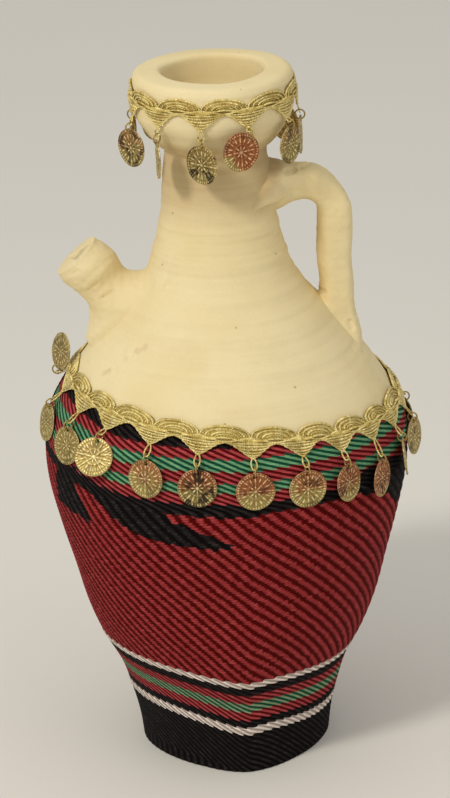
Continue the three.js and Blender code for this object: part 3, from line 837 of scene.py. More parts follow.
BEAK = np.array([  # azimuth, middle height, half its height and how far it stands out
    (97, 250.0, 7.0, 6.5), (75, 251.5, 5.6, 6.2), (60, 250.6, 3.7, 5.0), (50, 248.9, 2.6, 4.0),
    (38, 245.9, 0.9, 1.6),
])
BEAK_RINGS = 18
BEAK_SIDES = 20
BEAK_POWER = 0.7
UNDER_FILLET = (  # distance from the axis, height and radius of each ring
    (19, 244, 7.4), (24, 245, 5.2), (28, 247, 3.4), (33, 249.5, 2.4),
)


def beak_rings():
    """The strap's upper end, smeared forward round the neck into a tongue with a proud lower edge."""
    rings = []
    for azimuth in np.linspace(BEAK[0, 0], BEAK[-1, 0], BEAK_RINGS):
        height, tall, proud = (float(np.interp(-azimuth, -BEAK[:, 0], BEAK[:, i])) for i in (1, 2, 3))
        ring = []
        for angle in round_angles(BEAK_SIDES):
            out, up = squarer(math.cos(angle), BEAK_POWER), squarer(math.sin(angle), BEAK_POWER)
            radius = float(clay_radius(height)) + proud * out * (1 - 0.3 * up)
            ring.append(polar(azimuth, radius, height + tall * up))
        rings.append(ring)
    return rings


def under_fillet():
    """The clay that was pushed into the corner under the strap, at the neck."""
    rings = []
    across = polar(HANDLE_AZIMUTH + 90, 1, 0) / MM
    round_points = [across * math.cos(a) + Vector((0, 0, math.sin(a))) for a in round_angles(BEAK_SIDES)]
    for radius, height, size in UNDER_FILLET:
        centre = polar(HANDLE_AZIMUTH, radius, height)
        rings.append([centre + point * size * MM for point in round_points])
    return rings


bm = bmesh.new()
draw_out(bm, strap_rings())
draw_out(bm, beak_rings())
draw_out(bm, under_fillet())
wall_slab(bm, low=232, high=268, azimuth=HANDLE_AZIMUTH - 24, half_angle=62)
wall_slab(bm, low=172, high=206, azimuth=HANDLE_AZIMUTH, half_angle=22)
handle_mesh = settled(mesh_from(bm, "handle"), REMESH, ("SMOOTH", {"factor": 0.5, "iterations": 6}))
handle_mesh = hand_shaped(handle_mesh, depth=1.1, size=13.0, seed=7.7)
handle_mesh = hand_shaped(handle_mesh, depth=0.2, size=2.6, seed=2.2)
handle_mesh = pressed(handle_mesh, [
    ((29.2, -2.2, 256), (31.5, 0.6, 256), 1.9, 1.5),
    ((31.2, -3.9, 256.5), (38.6, 6.1, 257), 1.6, 0.6),
    ((36.9, -3.5, 252.7), (44.9, -2.5, 242.6), 2.4, 0.5),
    ((53.6, -2.5, 189.5), (54.4, -2.4, 186.8), 1.6, 1.0),
    ((40.3, 0.9, 204), (43.1, -0.7, 202.7), 1.5, 0.9),
    ((30, -3, 247.5), (38, -3, 247), 1.8, 0.5),
])
add_piece("handle_clay", handle_mesh, clay_material, "clay", "jug", "handle")

# %% [markdown]
# ## The cloth
#
# The cloth is one strip of weft-faced wool twill, wrapped tight from the shoulder to the table and glued,
# with its ends overlapping on the spout's side. A tight wrap doesn't drape, so it isn't simulated: a flat
# grid is laid on the clay's outline, squared a little at the foot where the stiff cloth makes soft corners,
# with one sharper crease in front. The twill's ribs run down to the right and are moved into the mesh, so
# they break the outline as real ribs do. They are coarse in the red field and close together in the bands.
#
# Three numbers are stored on each vertex for the finish: the place across the stripes, the count of ribs,
# and the distance to the woven black figures.

# %% Form of the cloth
SEAT_GAP = 0.3
CLOTH_THICKNESS = 1.2
HEM_HEIGHT = 0.4
CORNER_TOP = 95
CORNER_FULL = 40
CORNER_POWER = 1.7
CORNER_TURN = 3
CREASE_AZIMUTH = 7
CREASE_RIDGE = 1.7
CREASE_HALF_WIDTH = 30
BRAID_TILT = 6  # the shoulder braid's fall to the handle's side, in degrees
BRAID_HEIGHT = 166
EDGE_ABOVE_BRAID_LINE = 0.6
CLOTH_REACH = 185  # above the highest point of the cloth
CLOTH_COLUMNS = 372
CLOTH_ROWS = 254
SEAM_AZIMUTH = -97
OVERLAP = 2.4  # of the strip's ends, in degrees
LAP_FROM = 358.2
FIELD_FOOT = 50  # the red field in the strip, in mm
FIELD_TOP = 137
CORDS = (48.3, 22.2)  # the middles of the white cords
CORD_HALF_WIDTH = 1.6
CORD_RELIEF = 0.35
RIBS_PER_RADIAN = 11.7
RIB_SPACING = (  # from a height in the strip, in mm
    (0, 2.8), (20, 2.4), (FIELD_FOOT, 5.6), (FIELD_TOP, 2.07), (200, 2.07),
)
RIB_DEPTH = 0.5
BAND_RIB_DEPTH = 0.22


def corner_growth(azimuth, height):
    power = lerp(CORNER_POWER, 2, smoothstep(height, CORNER_FULL, CORNER_TOP))

    def squared(angle):
        return (np.abs(np.cos(angle)) ** power + np.abs(np.sin(angle)) ** power) ** (-1 / power)

    return squared(np.radians(azimuth - CORNER_TURN)) / squared(np.full_like(power, math.pi / 4))


def dressed_radius(height):
    return clay_radius(height) + SEAT_GAP + CLOTH_THICKNESS


def shoulder_line(azimuth):
    slope = math.tan(math.radians(BRAID_TILT))
    return BRAID_HEIGHT - slope * dressed_radius(BRAID_HEIGHT) * np.sin(np.radians(azimuth))


# azimuth, and how far the stripes have sunk there, in mm, near the hem and at the top
STRIPE_SHIFT = np.array([
    (-97, -6.0, -6.0), (-67, -5.9, -4.6), (-55, -5.8, -3.4), (-47, -5.7, -1.7), (-38, -5.5, -0.6),
    (-24, -4.3, -0.2), (-12, -2.6, -0.1), (-2, -0.5, 0.1), (6, 0.7, 1.0), (12, -0.2, 0.6), (20, -0.3, 0.4),
    (32, 0.8, 0.8), (45, 2.3, 1.3), (60, 3.4, 2.0), (75, 4.0, 3.0), (97, 4.5, 3.5), (180, 0.5, 0.5),
    (266, -5.2, -5.2),
])


def stripe_place(azimuth, height):
    """Height in the strip that shows here. The strip was wrapped askew, and dips at the crease in front."""
    near_hem, near_top = (np.interp(azimuth, STRIPE_SHIFT[:, 0], STRIPE_SHIFT[:, i]) for i in (1, 2))
    return height + lerp(near_hem, near_top, smoothstep(height, 45, 130))


def rib_count(azimuth, stripe):
    """The number of ribs passed, going round to the right and up: each rib falls to the right."""
    starts = [start for start, spacing in RIB_SPACING]
    passed = [0.0]
    for (start, spacing), (end, after) in zip(RIB_SPACING, RIB_SPACING[1:]):
        passed.append(passed[-1] + (end - start) / spacing)
    turn = np.radians(azimuth)
    steeper = 0.027 * np.tanh(turn / 0.9) * (np.clip(stripe, FIELD_FOOT, FIELD_TOP) - 94)
    return RIBS_PER_RADIAN * turn + np.interp(stripe, starts, passed) + steeper


def rib_profile(count):
    """A wave with its crowns at the halves and its grooves at the whole numbers, from 0 to 1."""
    return 0.5 - 0.5 * np.cos(2 * math.pi * count)


bm = bmesh.new()
bmesh.ops.create_grid(bm, x_segments=CLOTH_COLUMNS, y_segments=CLOTH_ROWS, size=0.5)
cloth_mesh = mesh_from(bm, "fabric_wrap_cloth")
flat = np.zeros(len(cloth_mesh.vertices) * 3)
cloth_mesh.vertices.foreach_get("co", flat)
flat = flat.reshape(-1, 3)
round_share, up_share = flat[:, 0] + 0.5, flat[:, 1] + 0.5
degrees_round = round_share * (360 + OVERLAP)
azimuth = SEAM_AZIMUTH + degrees_round
top = shoulder_line(azimuth) + EDGE_ABOVE_BRAID_LINE
# rows are spread by length along the clay, so that they aren't sparse where the shoulder flattens
levels = np.linspace(0, CLOTH_REACH, 600)
lengths = np.concatenate([[0], np.cumsum(np.hypot(np.diff(levels), np.diff(clay_radius(levels))))])
hem_length = np.interp(HEM_HEIGHT, levels, lengths)
top_length = np.interp(top, levels, lengths)
height = np.interp(lerp(hem_length, top_length, up_share), lengths, levels)
stripe = stripe_place(azimuth, height)
ribs = rib_count(azimuth, stripe)
field_begins = smoothstep(stripe, FIELD_FOOT - 0.5, FIELD_FOOT + 2.5)
field_ends = smoothstep(stripe, FIELD_TOP - 1, FIELD_TOP + 2)
relief = lerp(BAND_RIB_DEPTH, RIB_DEPTH, field_begins * (1 - field_ends)) * (rib_profile(ribs) - 0.5)
for middle in CORDS:
    relief += CORD_RELIEF * np.exp(-(((stripe - middle) / CORD_HALF_WIDTH) ** 4))
relief += 0.45 * np.sin(3 * np.radians(azimuth) + height / 30) * smoothstep(height, 60, 20)
from_crease = np.sqrt((azimuth - CREASE_AZIMUTH) ** 2 + 9)
crease = np.clip(1 - from_crease / CREASE_HALF_WIDTH, 0, 1) * smoothstep(height, CORNER_TOP, CORNER_FULL)
lap = smoothstep(degrees_round, LAP_FROM, 360)
radius = (clay_radius(height) + SEAT_GAP) * corner_growth(azimuth, height) + CLOTH_THICKNESS - 0.15
radius = radius + relief + CREASE_RIDGE * crease + 0.5 * lap
angle = np.radians(azimuth)
laid = np.stack([radius * np.sin(angle), -radius * np.cos(angle), height], axis=1) * MM
cloth_mesh.vertices.foreach_set("co", laid.ravel())
cloth_mesh.flip_normals()


def signed_distance(corners, across, up):
    """Distance to a polygon's edge in mm, less than 0 inside."""
    corners = np.array(corners, float)
    nearest = np.full(across.shape, 1e9)
    inside = np.zeros(across.shape, bool)
    for (ax, ay), (bx, by) in zip(corners, np.roll(corners, -1, axis=0)):
        ex, ey = bx - ax, by - ay
        share = np.clip(((across - ax) * ex + (up - ay) * ey) / (ex * ex + ey * ey), 0, 1)
        nearest = np.minimum(nearest, np.hypot(across - ax - share * ex, up - ay - share * ey))
        crosses = ((ay > up) != (by > up)) & (across < (up - ay) * ex / (ey if ey else 1e-9) + ax)
        inside ^= crosses
    return np.where(inside, -nearest, nearest)


LEFT_FIGURE = (  # azimuth and height of each corner
    (-66, 142.3), (-60, 144.8), (-54, 145.8), (-47.5, 143.1), (-37, 141.5), (-28, 139.1), (-20, 140.3),
    (-12, 140.3), (9, 137.1), (9, 133.5), (-4.4, 134.6), (-15, 135), (-20, 136.1), (-21.4, 136.7),
    (-19.9, 135.5), (-17.6, 132.4), (-12.3, 129.9), (-6.2, 126.3), (0.5, 121.7), (0.9, 120.1), (-3.4, 119.5),
    (-14.7, 120.7), (-24.9, 122.5), (-33.5, 125.1), (-38, 128.4), (-44.2, 134.3), (-49, 138.1), (-54, 138.9),
    (-55.5, 137.9), (-53.2, 134.1), (-50.6, 129.4), (-49, 124.3), (-50, 122.1), (-55.1, 123.4), (-69.5, 124),
    (-69.8, 128.4), (-69.1, 135.7),
)
RIGHT_FIGURE = (
    (31.3, 139), (48, 143.5), (65.2, 141), (84, 130), (84, 112), (72, 115), (60, 126), (45, 133),
    (32.4, 135.5),
)
wrapped = (azimuth + 180) % 360 - 180
figure = np.full(azimuth.shape, 1e3)
for corners in (LEFT_FIGURE, RIGHT_FIGURE):
    placed = [(math.radians(a) * BELLY_RADIUS, h) for a, h in corners]
    figure = np.minimum(figure, signed_distance(placed, np.radians(wrapped) * BELLY_RADIUS, height))

for name, values in (("stripe", stripe), ("ribs", ribs), ("figure", figure)):
    layer = cloth_mesh.attributes.new(name, "FLOAT", "POINT")
    layer.data.foreach_set("value", values.astype(np.float32))

# %% [markdown]
# ## The cloth's finish
#
# Stripes, ribs and the black figures are read from the numbers stored on the vertices. Twill is built of
# picks: single turns of yarn, laid one above another, each a little further to the side. So the ribs and a
# figure's edge aren't smooth lines but steps, a pick high. In the red field the ribs are therefore counted
# at the middle of each pick. Crowns show the yarn's colour, and the grooves get a darker copy of it that is
# painted shade, made uneven by a slow noise. A noise that is as fine as one pick makes some strokes paler,
# as hairy wool is.

# %% Finish of the cloth
# each yarn's colour, and the darker copy of it that is painted shade in the rib grooves
RED, SHADED_RED = (0.3, 0.03, 0.032), (0.08, 0.0012, 0.0006)
BAND_RED, SHADED_BAND_RED = (0.4, 0.055, 0.06), (0.09, 0.002, 0.002)
GREEN, SHADED_GREEN = (0.145, 0.335, 0.17), (0.004, 0.06, 0.03)
OLIVE = (0.2, 0.31, 0.17)
BLACK, SHADED_BLACK = (0.012, 0.01, 0.01), (0.003, 0.002, 0.002)
WHITE, SHADED_WHITE = (0.82, 0.74, 0.67), (0.42, 0.33, 0.29)
STRIPES = (  # upper edge in mm at the front, and the yarn
    (20.3, BLACK), (24.1, WHITE), (27.6, BLACK), (32.1, BAND_RED), (37.2, OLIVE), (42.0, BAND_RED),
    (46.2, BLACK), (50.0, WHITE), (135.7, RED), (140.2, BLACK), (144.8, BAND_RED), (148.9, GREEN),
    (153.7, BAND_RED), (158.3, GREEN), (162.2, BAND_RED), (200.0, BLACK),
)
GROOVE_SHADE = {
    RED: SHADED_RED, BAND_RED: SHADED_BAND_RED, GREEN: SHADED_GREEN, OLIVE: SHADED_GREEN, BLACK: SHADED_BLACK,
    WHITE: SHADED_WHITE,
}
STRIPE_SPAN = 200.0
PICK = 1.05

twill = Finish("wool_twill")
stripe_at = twill.attribute("stripe")
ribs_passed = twill.attribute("ribs")
to_figure = twill.attribute("figure")
above_foot = stripe_at.step(FIELD_FOOT - 0.5, FIELD_FOOT + 1.5)
in_field = above_foot * stripe_at.step(FIELD_TOP + 0.5, FIELD_TOP - 1.5)
picks = stripe_at / PICK
from_middle = (picks.fraction() - 0.5) * PICK
unevenness = twill.cloud(twill.point(ribs_passed * 0.35, picks.whole() * 5.1), 1.0, 1.0) - 0.5
stepped_ribs = ribs_passed - in_field * (from_middle / RIB_SPACING[2][1] + unevenness * 0.45)


def ridge(count):
    """1 on a rib's crown and 0 in its groove."""
    return (count * (2 * math.pi)).math("COSINE") * -0.5 + 0.5


rib = ridge(stepped_ribs)
pick_row = 1 - (picks.fraction() * 2 - 1).size() ** 3
stroke = twill.cloud(twill.point(stepped_ribs * 1.7, picks.whole() * 7.3), 1.0, 1.0)
hair = twill.cloud(twill.point(ribs_passed * 9, picks * 2.5), 1.0, 2.0)
uneven_shade = twill.cloud(twill.point(ribs_passed * 0.6, stripe_at / 9), 1.0, 3.0)
stepped_stripe = stripe_at + (rib - 0.5) * 0.8 + (stroke - 0.5) * 0.5


def stripe_colours(crowns):
    """A ramp of the stripes, with each yarn's crown colour or its darker painted shade for the grooves."""
    wire = twill.node("ShaderNodeValToRGB", {}, {0: stepped_stripe / STRIPE_SPAN})
    ramp = wire.socket.node.color_ramp
    ramp.interpolation = "CONSTANT"
    ramp.elements.remove(ramp.elements[1])
    low = 0.0
    for i, (high, colour) in enumerate(STRIPES):
        stop = ramp.elements[0] if i == 0 else ramp.elements.new(low / STRIPE_SPAN)
        stop.position = low / STRIPE_SPAN
        stop.color = (*(colour if crowns else GROOVE_SHADE[colour]), 1)
        low = high
    return wire


in_figure = (to_figure + (stroke - 0.5) * 4.5 + (rib - 0.5) * 0.8).step(0.3, -0.3)
crown = twill.blend(in_figure, stripe_colours(True), BLACK)
# painted shade: the grooves take the darker copies of the yarn colours
groove = twill.blend(in_figure, stripe_colours(False), SHADED_BLACK)
paler_crown = twill.blend(0.05, twill.brighter(crown, 1.5), (0.6, 0.5, 0.48))
crown = twill.blend((stroke * 0.6 + hair * 0.4).step(0.45, 0.68) * 0.75, crown, paler_crown)
# painted shade across each rib, from the lit crown to the shaded groove
shade = (rib * (0.72 + stroke * 0.3 + uneven_shade * 0.25) * (0.8 + pick_row * 0.2)).step(0.18, 0.82)
twill_material = twill.surface(
    Base_Color=twill.blend(shade, groove, crown),
    Roughness=0.95 - hair * 0.1,
    Specular_IOR_Level=0.06,
    Sheen_Weight=0.01,
    Sheen_Roughness=0.5,
    Normal=twill.bump(rib * 0.6 + pick_row * 0.25 + hair * 0.15, 0.0008, 0.8),
)
cloth = add_piece("fabric_wrap_cloth", cloth_mesh, twill_material, "cloth", "jug", "fabric_wrap")

# %% [markdown]
# ## Gold braid
#
# The braid is lace of metal thread: scallops of ribbed gimp above, a band of flat shiny thread, and fans of
# net below, each ending in a loop for a coin. One repeat is drawn flat, as it would lie on a table, and
# every thread in it is a real tube. Copies of the repeat are then laid round the jug with the coins' own
# uneven spacing, each point moved by its share of the way to the next fan, its height above the braid's
# line, and its lift off the surface.

# %% Threads
REPEAT = 22.0
TUBE_SIDES = 6
NET_SIDES = 4
RIB_PITCH = 1.15


def new_braid():
    bm = bmesh.new()
    for name in ("along", "tone"):
        bm.verts.layers.float.new(name)
    return bm


def thread(bm, points, radius, tone=0.0, ribbed=0.0, flat=1.0, step=0.45, sides=TUBE_SIDES):
    """A tube along points in mm. Ribbed gimp swells with each wind of its wire; flat thread is pressed."""
    points = np.array(points, float)
    lengths = np.concatenate([[0], np.cumsum(np.linalg.norm(np.diff(points, axis=0), axis=1))])
    spots = np.linspace(0, lengths[-1], max(4, int(lengths[-1] / step)) + 1)
    line = np.stack([np.interp(spots, lengths, points[:, i]) for i in range(3)], axis=1)
    travel = np.gradient(line, axis=0)
    travel /= np.linalg.norm(travel, axis=1)[:, None]
    lift = np.array([0, 0, 1.0])
    angles = round_angles(sides)
    rings = []
    for spot, centre, ahead in zip(spots, line, travel):
        side = np.cross(ahead, lift)
        side /= max(np.linalg.norm(side), 1e-6)
        up = np.cross(side, ahead)
        size = radius * (1 + ribbed * math.cos(2 * math.pi * spot / RIB_PITCH))
        ring = [side * math.cos(angle) + up * flat * math.sin(angle) for angle in angles]
        rings.append([Vector(centre + size * point) for point in ring])
    made = draw_out(bm, rings)
    along, tones = (bm.verts.layers.float[name] for name in ("along", "tone"))
    for i, vert in enumerate(made):
        vert[along] = spots[i // sides]
        vert[tones] = tone


def bow(centre, half_width, top, rise, lift, ends=0.0, count=25):
    """An arch of points: a half ellipse from side to side, which sags where the rise is below 0."""
    angles = np.linspace(math.pi * (1 - ends), math.pi * ends, count)
    return [(centre + half_width * math.cos(a), top + rise * math.sin(a), lift) for a in angles]


# %% One repeat of the braid, drawn flat
GIMP, NET, LUREX, STRIP = 0.0, 0.35, 0.7, 1.0
# points are across, up and off the surface, in mm
# the arches of a scallop: share of its half width, rise and lift
GIMP_ARCHES = ((0.97, 4.15, 0.75), (0.76, 2.95, 0.7), (0.52, 1.75, 0.65))
NET_ARCHES = ((0.86, 3.55, 0.45), (0.64, 2.35, 0.45), (0.36, 1.0, 0.5))
LUREX_BAND = ((-7.6, 0.15, 0.9), (-3, -0.05, 1.1), (3, -0.05, 1.1), (7.6, 0.15, 0.9))
# the swags of a fan: height of their ends, half width, rise, and the thread's radius
GIMP_SWAGS = (
    (-0.95, 10.8, -0.45, 0.4), (-1.3, 9.3, -1.2, 0.4), (-2.1, 7.5, -1.75, 0.4), (-3.35, 5.6, -1.75, 0.38),
    (-4.8, 3.7, -1.45, 0.36),
)
NET_SWAGS = ((-1.15, 9.8, -0.8), (-1.7, 8.3, -1.5), (-2.7, 6.5, -1.75), (-4.1, 4.6, -1.6))
ARCH_FOOT = 0.75  # above the braid's line
WAVE_MIDDLE = -0.05
WAVE_HEIGHT = 0.75
FAN_TOP = -0.9
FAN_TIP = ((-0.9, -6.9, 0.8), (0, -7.35, 0.9), (0.9, -6.9, 0.8))
FAN_THREADS = 11
FAN_EDGE = np.array([  # share of the way to the next fan, and how low the edge hangs
    (0, -7.35), (0.1, -6.95), (0.2, -6.3), (0.33, -5.1), (0.45, -3.9), (0.58, -2.8), (0.75, -1.9), (1, -1.3),
])


def net_thread(bm, points, radius, step=0.85):
    """A thread of the net, so thin that four sides and long steps are enough."""
    thread(bm, points, radius, NET, step=step, sides=NET_SIDES)


def fan_edge(share):
    """Height of a fan's edge, which has the form of a bell that ends in a narrow tip."""
    return np.interp(share, FAN_EDGE[:, 0], FAN_EDGE[:, 1])


def flat_repeat():
    """A fan round x = 0 and the scallop on its right, with its centre half a repeat away."""
    bm = new_braid()
    half = REPEAT / 2
    for share, rise, lift in GIMP_ARCHES:
        thread(bm, bow(half, half * share, ARCH_FOOT, rise, lift), 0.42, GIMP, ribbed=0.2)
    for share, rise, lift in NET_ARCHES:
        net_thread(bm, bow(half, half * share, ARCH_FOOT, rise, lift, ends=0.04), 0.24)
    across = np.linspace(-half, half, 40)
    for phase, lift in ((1, 0.8), (-1, 0.95)):
        wave = WAVE_MIDDLE - WAVE_HEIGHT * phase * np.cos(2 * math.pi * across / REPEAT)
        thread(bm, [(a, w, lift) for a, w in zip(across, wave)], 0.4, GIMP, ribbed=0.2)
    thread(bm, LUREX_BAND, 0.72, LUREX, flat=0.45, step=1.2)
    for top, width, rise, size in GIMP_SWAGS:
        thread(bm, bow(0, width, top, rise, 0.85, ends=0.03), size, GIMP, ribbed=0.2)
    for top, width, rise in NET_SWAGS:
        net_thread(bm, bow(0, width, top, rise, 0.5, ends=0.05), 0.25)
    for place in np.linspace(-0.86, 0.86, FAN_THREADS):
        foot = float(fan_edge(abs(place)))
        middle = (half * place * 0.93, lerp(FAN_TOP, foot, 0.6), 0.6)
        points = [(half * place, FAN_TOP, 0.55), middle, (half * place * 0.86, foot, 0.55)]
        net_thread(bm, points, 0.21, step=1.0)
    for side in (-1, 1):
        edge = [(side * half * u, float(fan_edge(u)), 0.7) for u in np.linspace(0.04, 1, 24)]
        net_thread(bm, edge, 0.3)
    thread(bm, FAN_TIP, 0.55, GIMP, ribbed=0.1)
    return mesh_from(bm, "flat_repeat")


repeat_mesh = flat_repeat()
print("faces in one repeat:", len(repeat_mesh.polygons))

# %% [markdown]
# ## Laying the braid round the jug
#
# The shoulder braid dips on the handle's side and the collar braid is level. Each knows how far out the
# surface is at a height, and where its fans' tips point. The shoulder braid's scallops step in over the
# cloth's edge to the clay. Behind the scallops lies a thin dark strip, the woven heading that the gimp is
# sewn to. Nothing in a hand-glued braid is exact, so a slow noise moves the threads up and down by a few
# tenths of a millimetre.


# %% The two braids
COLLAR_BRAID_HEIGHT = 291.5
SHOULDER_COINS = 21
COLLAR_COINS = 11
SHOULDER_TIPS = [-100, -79.5, -60.3, -44, -25.6, -9.3, 8, 24.2, 38.3, 53, 67, 84.5]
COLLAR_TIPS = [-75, -41, -9, 23.5, 59]
TIP_DROP = 7.3
TIP_LIFT = 0.8
STEP_IN_FROM = (0.4, 2.4)  # mm above the braid's line
HEADING_FOOT = -1.5
HEADING_STEPS = 14  # in one repeat
HEADING_THICKNESS = 0.35


class Braid:
    """Where a braid lies: its line round the jug, the surface under it and its fans' azimuths."""

    def __init__(self, height, tilt, surface, tips, seed, step_in=0.0, gap=0.3):
        self.height = height
        self.gap = gap
        self.step_in = step_in
        self.slope = math.tan(math.radians(tilt))
        self.surface = surface
        self.tips = tips
        self.seed = seed

    def azimuth(self, repeat):
        count = len(self.tips)
        ring = [self.tips[i % count] + 360 * (i // count) for i in range(-1, count + 2)]
        return np.interp(repeat, range(-1, count + 2), ring)

    def line(self, azimuth):
        return self.height - self.slope * float(self.surface(self.height)) * np.sin(np.radians(azimuth))

    def rise(self, height):
        return 1 / np.hypot(1, (self.surface(height + 1) - self.surface(height - 1)) / 2)

    def lay(self, repeat, up, lift):
        """Points on the jug, in metres, from repeats round, mm up the surface and mm off it."""
        azimuth = self.azimuth(repeat)
        line = self.line(azimuth)
        height = line + up * self.rise(line)
        radius = self.surface(height) + self.gap + lift - self.step_in * smoothstep(up, *STEP_IN_FROM)
        angle = np.radians(azimuth)
        return np.stack([radius * np.sin(angle), -radius * np.cos(angle), height], axis=1) * MM

    def fan_tip(self, index):
        return Vector(self.lay(np.array([index]), np.array([-TIP_DROP]), np.array([TIP_LIFT]))[0])


def spread_tips(front, count):
    """The azimuths seen in the photograph, and the rest evenly round the back."""
    gap = (front[0] + 360 - front[-1]) / (count - len(front) + 1)
    return front + [front[-1] + gap * (i + 1) for i in range(count - len(front))]


def collar_surface(height):
    return np.maximum(clay_radius(height), COLLAR_RADIUS)


shoulder_tips = spread_tips(SHOULDER_TIPS, SHOULDER_COINS)
collar_tips = spread_tips(COLLAR_TIPS, COLLAR_COINS)
shoulder = Braid(BRAID_HEIGHT, BRAID_TILT, dressed_radius, shoulder_tips, seed=1.7, step_in=1.15)
collar = Braid(COLLAR_BRAID_HEIGHT, 0, collar_surface, collar_tips, seed=5.2, step_in=0.45, gap=0.1)


def scallop_top(repeat):
    from_tip = np.abs(repeat - np.round(repeat)) * 2
    return 1.3 + 3.5 * np.sqrt(1 - (1 - from_tip) ** 2)


def heading_strip(braid):
    """The dark woven heading behind the scallops, closed round the jug."""
    count = len(braid.tips)
    bm = bmesh.new()
    bmesh.ops.create_grid(bm, x_segments=count * HEADING_STEPS, y_segments=4, size=0.5)
    for vert in bm.verts:
        repeat = (vert.co.x + 0.5) * count
        up = lerp(HEADING_FOOT, float(scallop_top(repeat)) - 0.35, vert.co.y + 0.5)
        vert.co = Vector(braid.lay(np.array([repeat]), np.array([up]), np.array([0.05]))[0])
    bmesh.ops.remove_doubles(bm, verts=bm.verts, dist=1e-5)
    bmesh.ops.recalc_face_normals(bm, faces=bm.faces)
    bmesh.ops.solidify(bm, geom=bm.faces[:], thickness=-HEADING_THICKNESS * MM)
    tone = bm.verts.layers.float.new("tone")
    for vert in bm.verts:
        vert[tone] = STRIP
    return mesh_from(bm, "heading")


STRAND = ((0, 0.35), (0.25, 0.9), (0.55, 1.25), (0.85, 1.05))  # share of the way down, and mm to the side
LOOP_END = (0.1, 0.65)  # mm below the joint, and mm to the side


def hanging_loop(bm, tip, hang, side):
    """A loop of two strands from a fan's tip, through the jump ring and back."""
    down = hang - tip
    one_strand = [(tip + down * share, spread) for share, spread in STRAND]
    one_strand.append((hang + down.normalized() * LOOP_END[0] * MM, LOOP_END[1]))
    there = [point + side * spread * MM for point, spread in one_strand]
    back = [point - side * spread * MM for point, spread in reversed(one_strand)]
    thread(bm, [tuple(point / MM) for point in there + back], 0.34, GIMP, ribbed=0.1, step=0.4)


def woven_braid(name, braid, nodes):
    """All the repeats, the heading and the loops of one braid as one mesh."""
    bm = new_braid()
    for k in range(len(braid.tips)):
        add_mesh(bm, repeat_mesh, Matrix.Translation((k * REPEAT, 0, 0)))
    mesh = mesh_as_is(bm, name)

    def laid_out(spots):
        repeat = spots[:, 0] / REPEAT
        sway = [noise.noise(Vector((r * 1.3, braid.seed, 0))) for r in repeat]
        sag = [noise.noise(Vector((r * 0.7, braid.seed, 9))) for r in repeat]
        up = spots[:, 1] * (1 + 0.14 * np.array(sag)) + 0.45 * np.array(sway)
        return braid.lay(repeat + 0.02 * np.array(sag), up, spots[:, 2])

    reshape(mesh, laid_out)
    bm = new_braid()
    bm.from_mesh(mesh)
    bm.from_mesh(heading_strip(braid))
    loops = new_braid()
    for index, node in enumerate(nodes):
        across = polar(braid.tips[index] + 90, 1, 0) / MM
        hanging_loop(loops, braid.fan_tip(index), hang_point(node), across)
    add_mesh(bm, mesh_as_is(loops, "loops"), Matrix.Scale(MM, 4))
    return mesh_from(bm, name)


def hang_point(node):
    joint = next(j for j in frame["joints"] if j["name"] == node + "_swing")
    return Vector(joint["pos_m"])


shoulder_nodes = [f"shoulder_coin_{i + 1:02d}" for i in range(SHOULDER_COINS)]
collar_nodes = [f"collar_coin_{i + 1:02d}" for i in range(COLLAR_COINS)]

# %% [markdown]
# ## The braid's finish
#
# Gimp is a cotton core wound with flattened gilt wire, so it glints along each wind. The tone number says
# which thread a point is on: gimp, thin net thread, flat lurex or the dark heading. The winding is a bump
# along the thread, because its pitch is finer than the mesh.

# %% Finish of the braid
WIRE_WINDS = 8.0  # radians of the winding for each mm of thread
HEADING_WEAVE = 5200  # radians of the weave for each metre

gilt = Finish("gilt_thread")
x, y, z, here = gilt.place()
tone = gilt.attribute("tone")
winds = gilt.attribute("along")
mottle = gilt.cloud(here, 300.0, 3.0)
glint = gilt.cloud(here, 1100.0, 2.0)
is_heading = tone.step(0.85, 0.9)
is_lurex = tone.step(0.6, 0.68) * (1 - is_heading)
wind = (winds * WIRE_WINDS).math("SINE") * 0.5 + 0.5
weave = (x * HEADING_WEAVE).math("SINE") * (z * HEADING_WEAVE).math("SINE") * 0.5 + 0.5
gimp_tone = gilt.blend((mottle - 0.25 + glint * 0.5).step(0.2, 0.75), (0.6, 0.43, 0.1), (0.98, 0.84, 0.38))
lurex_tone = gilt.blend(mottle.step(0.3, 0.7), (0.5, 0.34, 0.08), (0.92, 0.74, 0.24))
thread_tone = gilt.blend(is_lurex, gimp_tone, lurex_tone)
heading_tone = gilt.blend(weave, (0.22, 0.15, 0.03), (0.6, 0.44, 0.1))
gilt_material = gilt.surface(
    Base_Color=gilt.blend(is_heading, thread_tone, heading_tone),
    Metallic=0.5,
    Roughness=0.34 + mottle * 0.2 + is_heading * 0.15,
    Normal=gilt.bump(wind * (1 - is_heading) + weave * is_heading, 0.0002, 0.6),
)
shoulder_mesh = woven_braid("shoulder_trim_braid", shoulder, shoulder_nodes)
add_piece("shoulder_trim_braid", shoulder_mesh, gilt_material, "braid", "jug", "shoulder_trim")
collar_mesh = woven_braid("collar_trim_braid", collar, collar_nodes)
add_piece("collar_trim_braid", collar_mesh, gilt_material, "braid", "jug", "collar_trim")

# %% [markdown]
# ## The coins
#
# The coins are thin discs stamped in a press, so the pattern stands out on the front and is sunk in the
# back: a ring of beads at the rim, rays, and a small sun in the middle. One disc is spun from its profile,
# and every vertex is moved by the pattern's height there. The hole is punched with a Boolean. Each coin is
# then a copy that is bent a little, stained in its own way, and hung on its wire jump ring where the CAD's
# joint is.

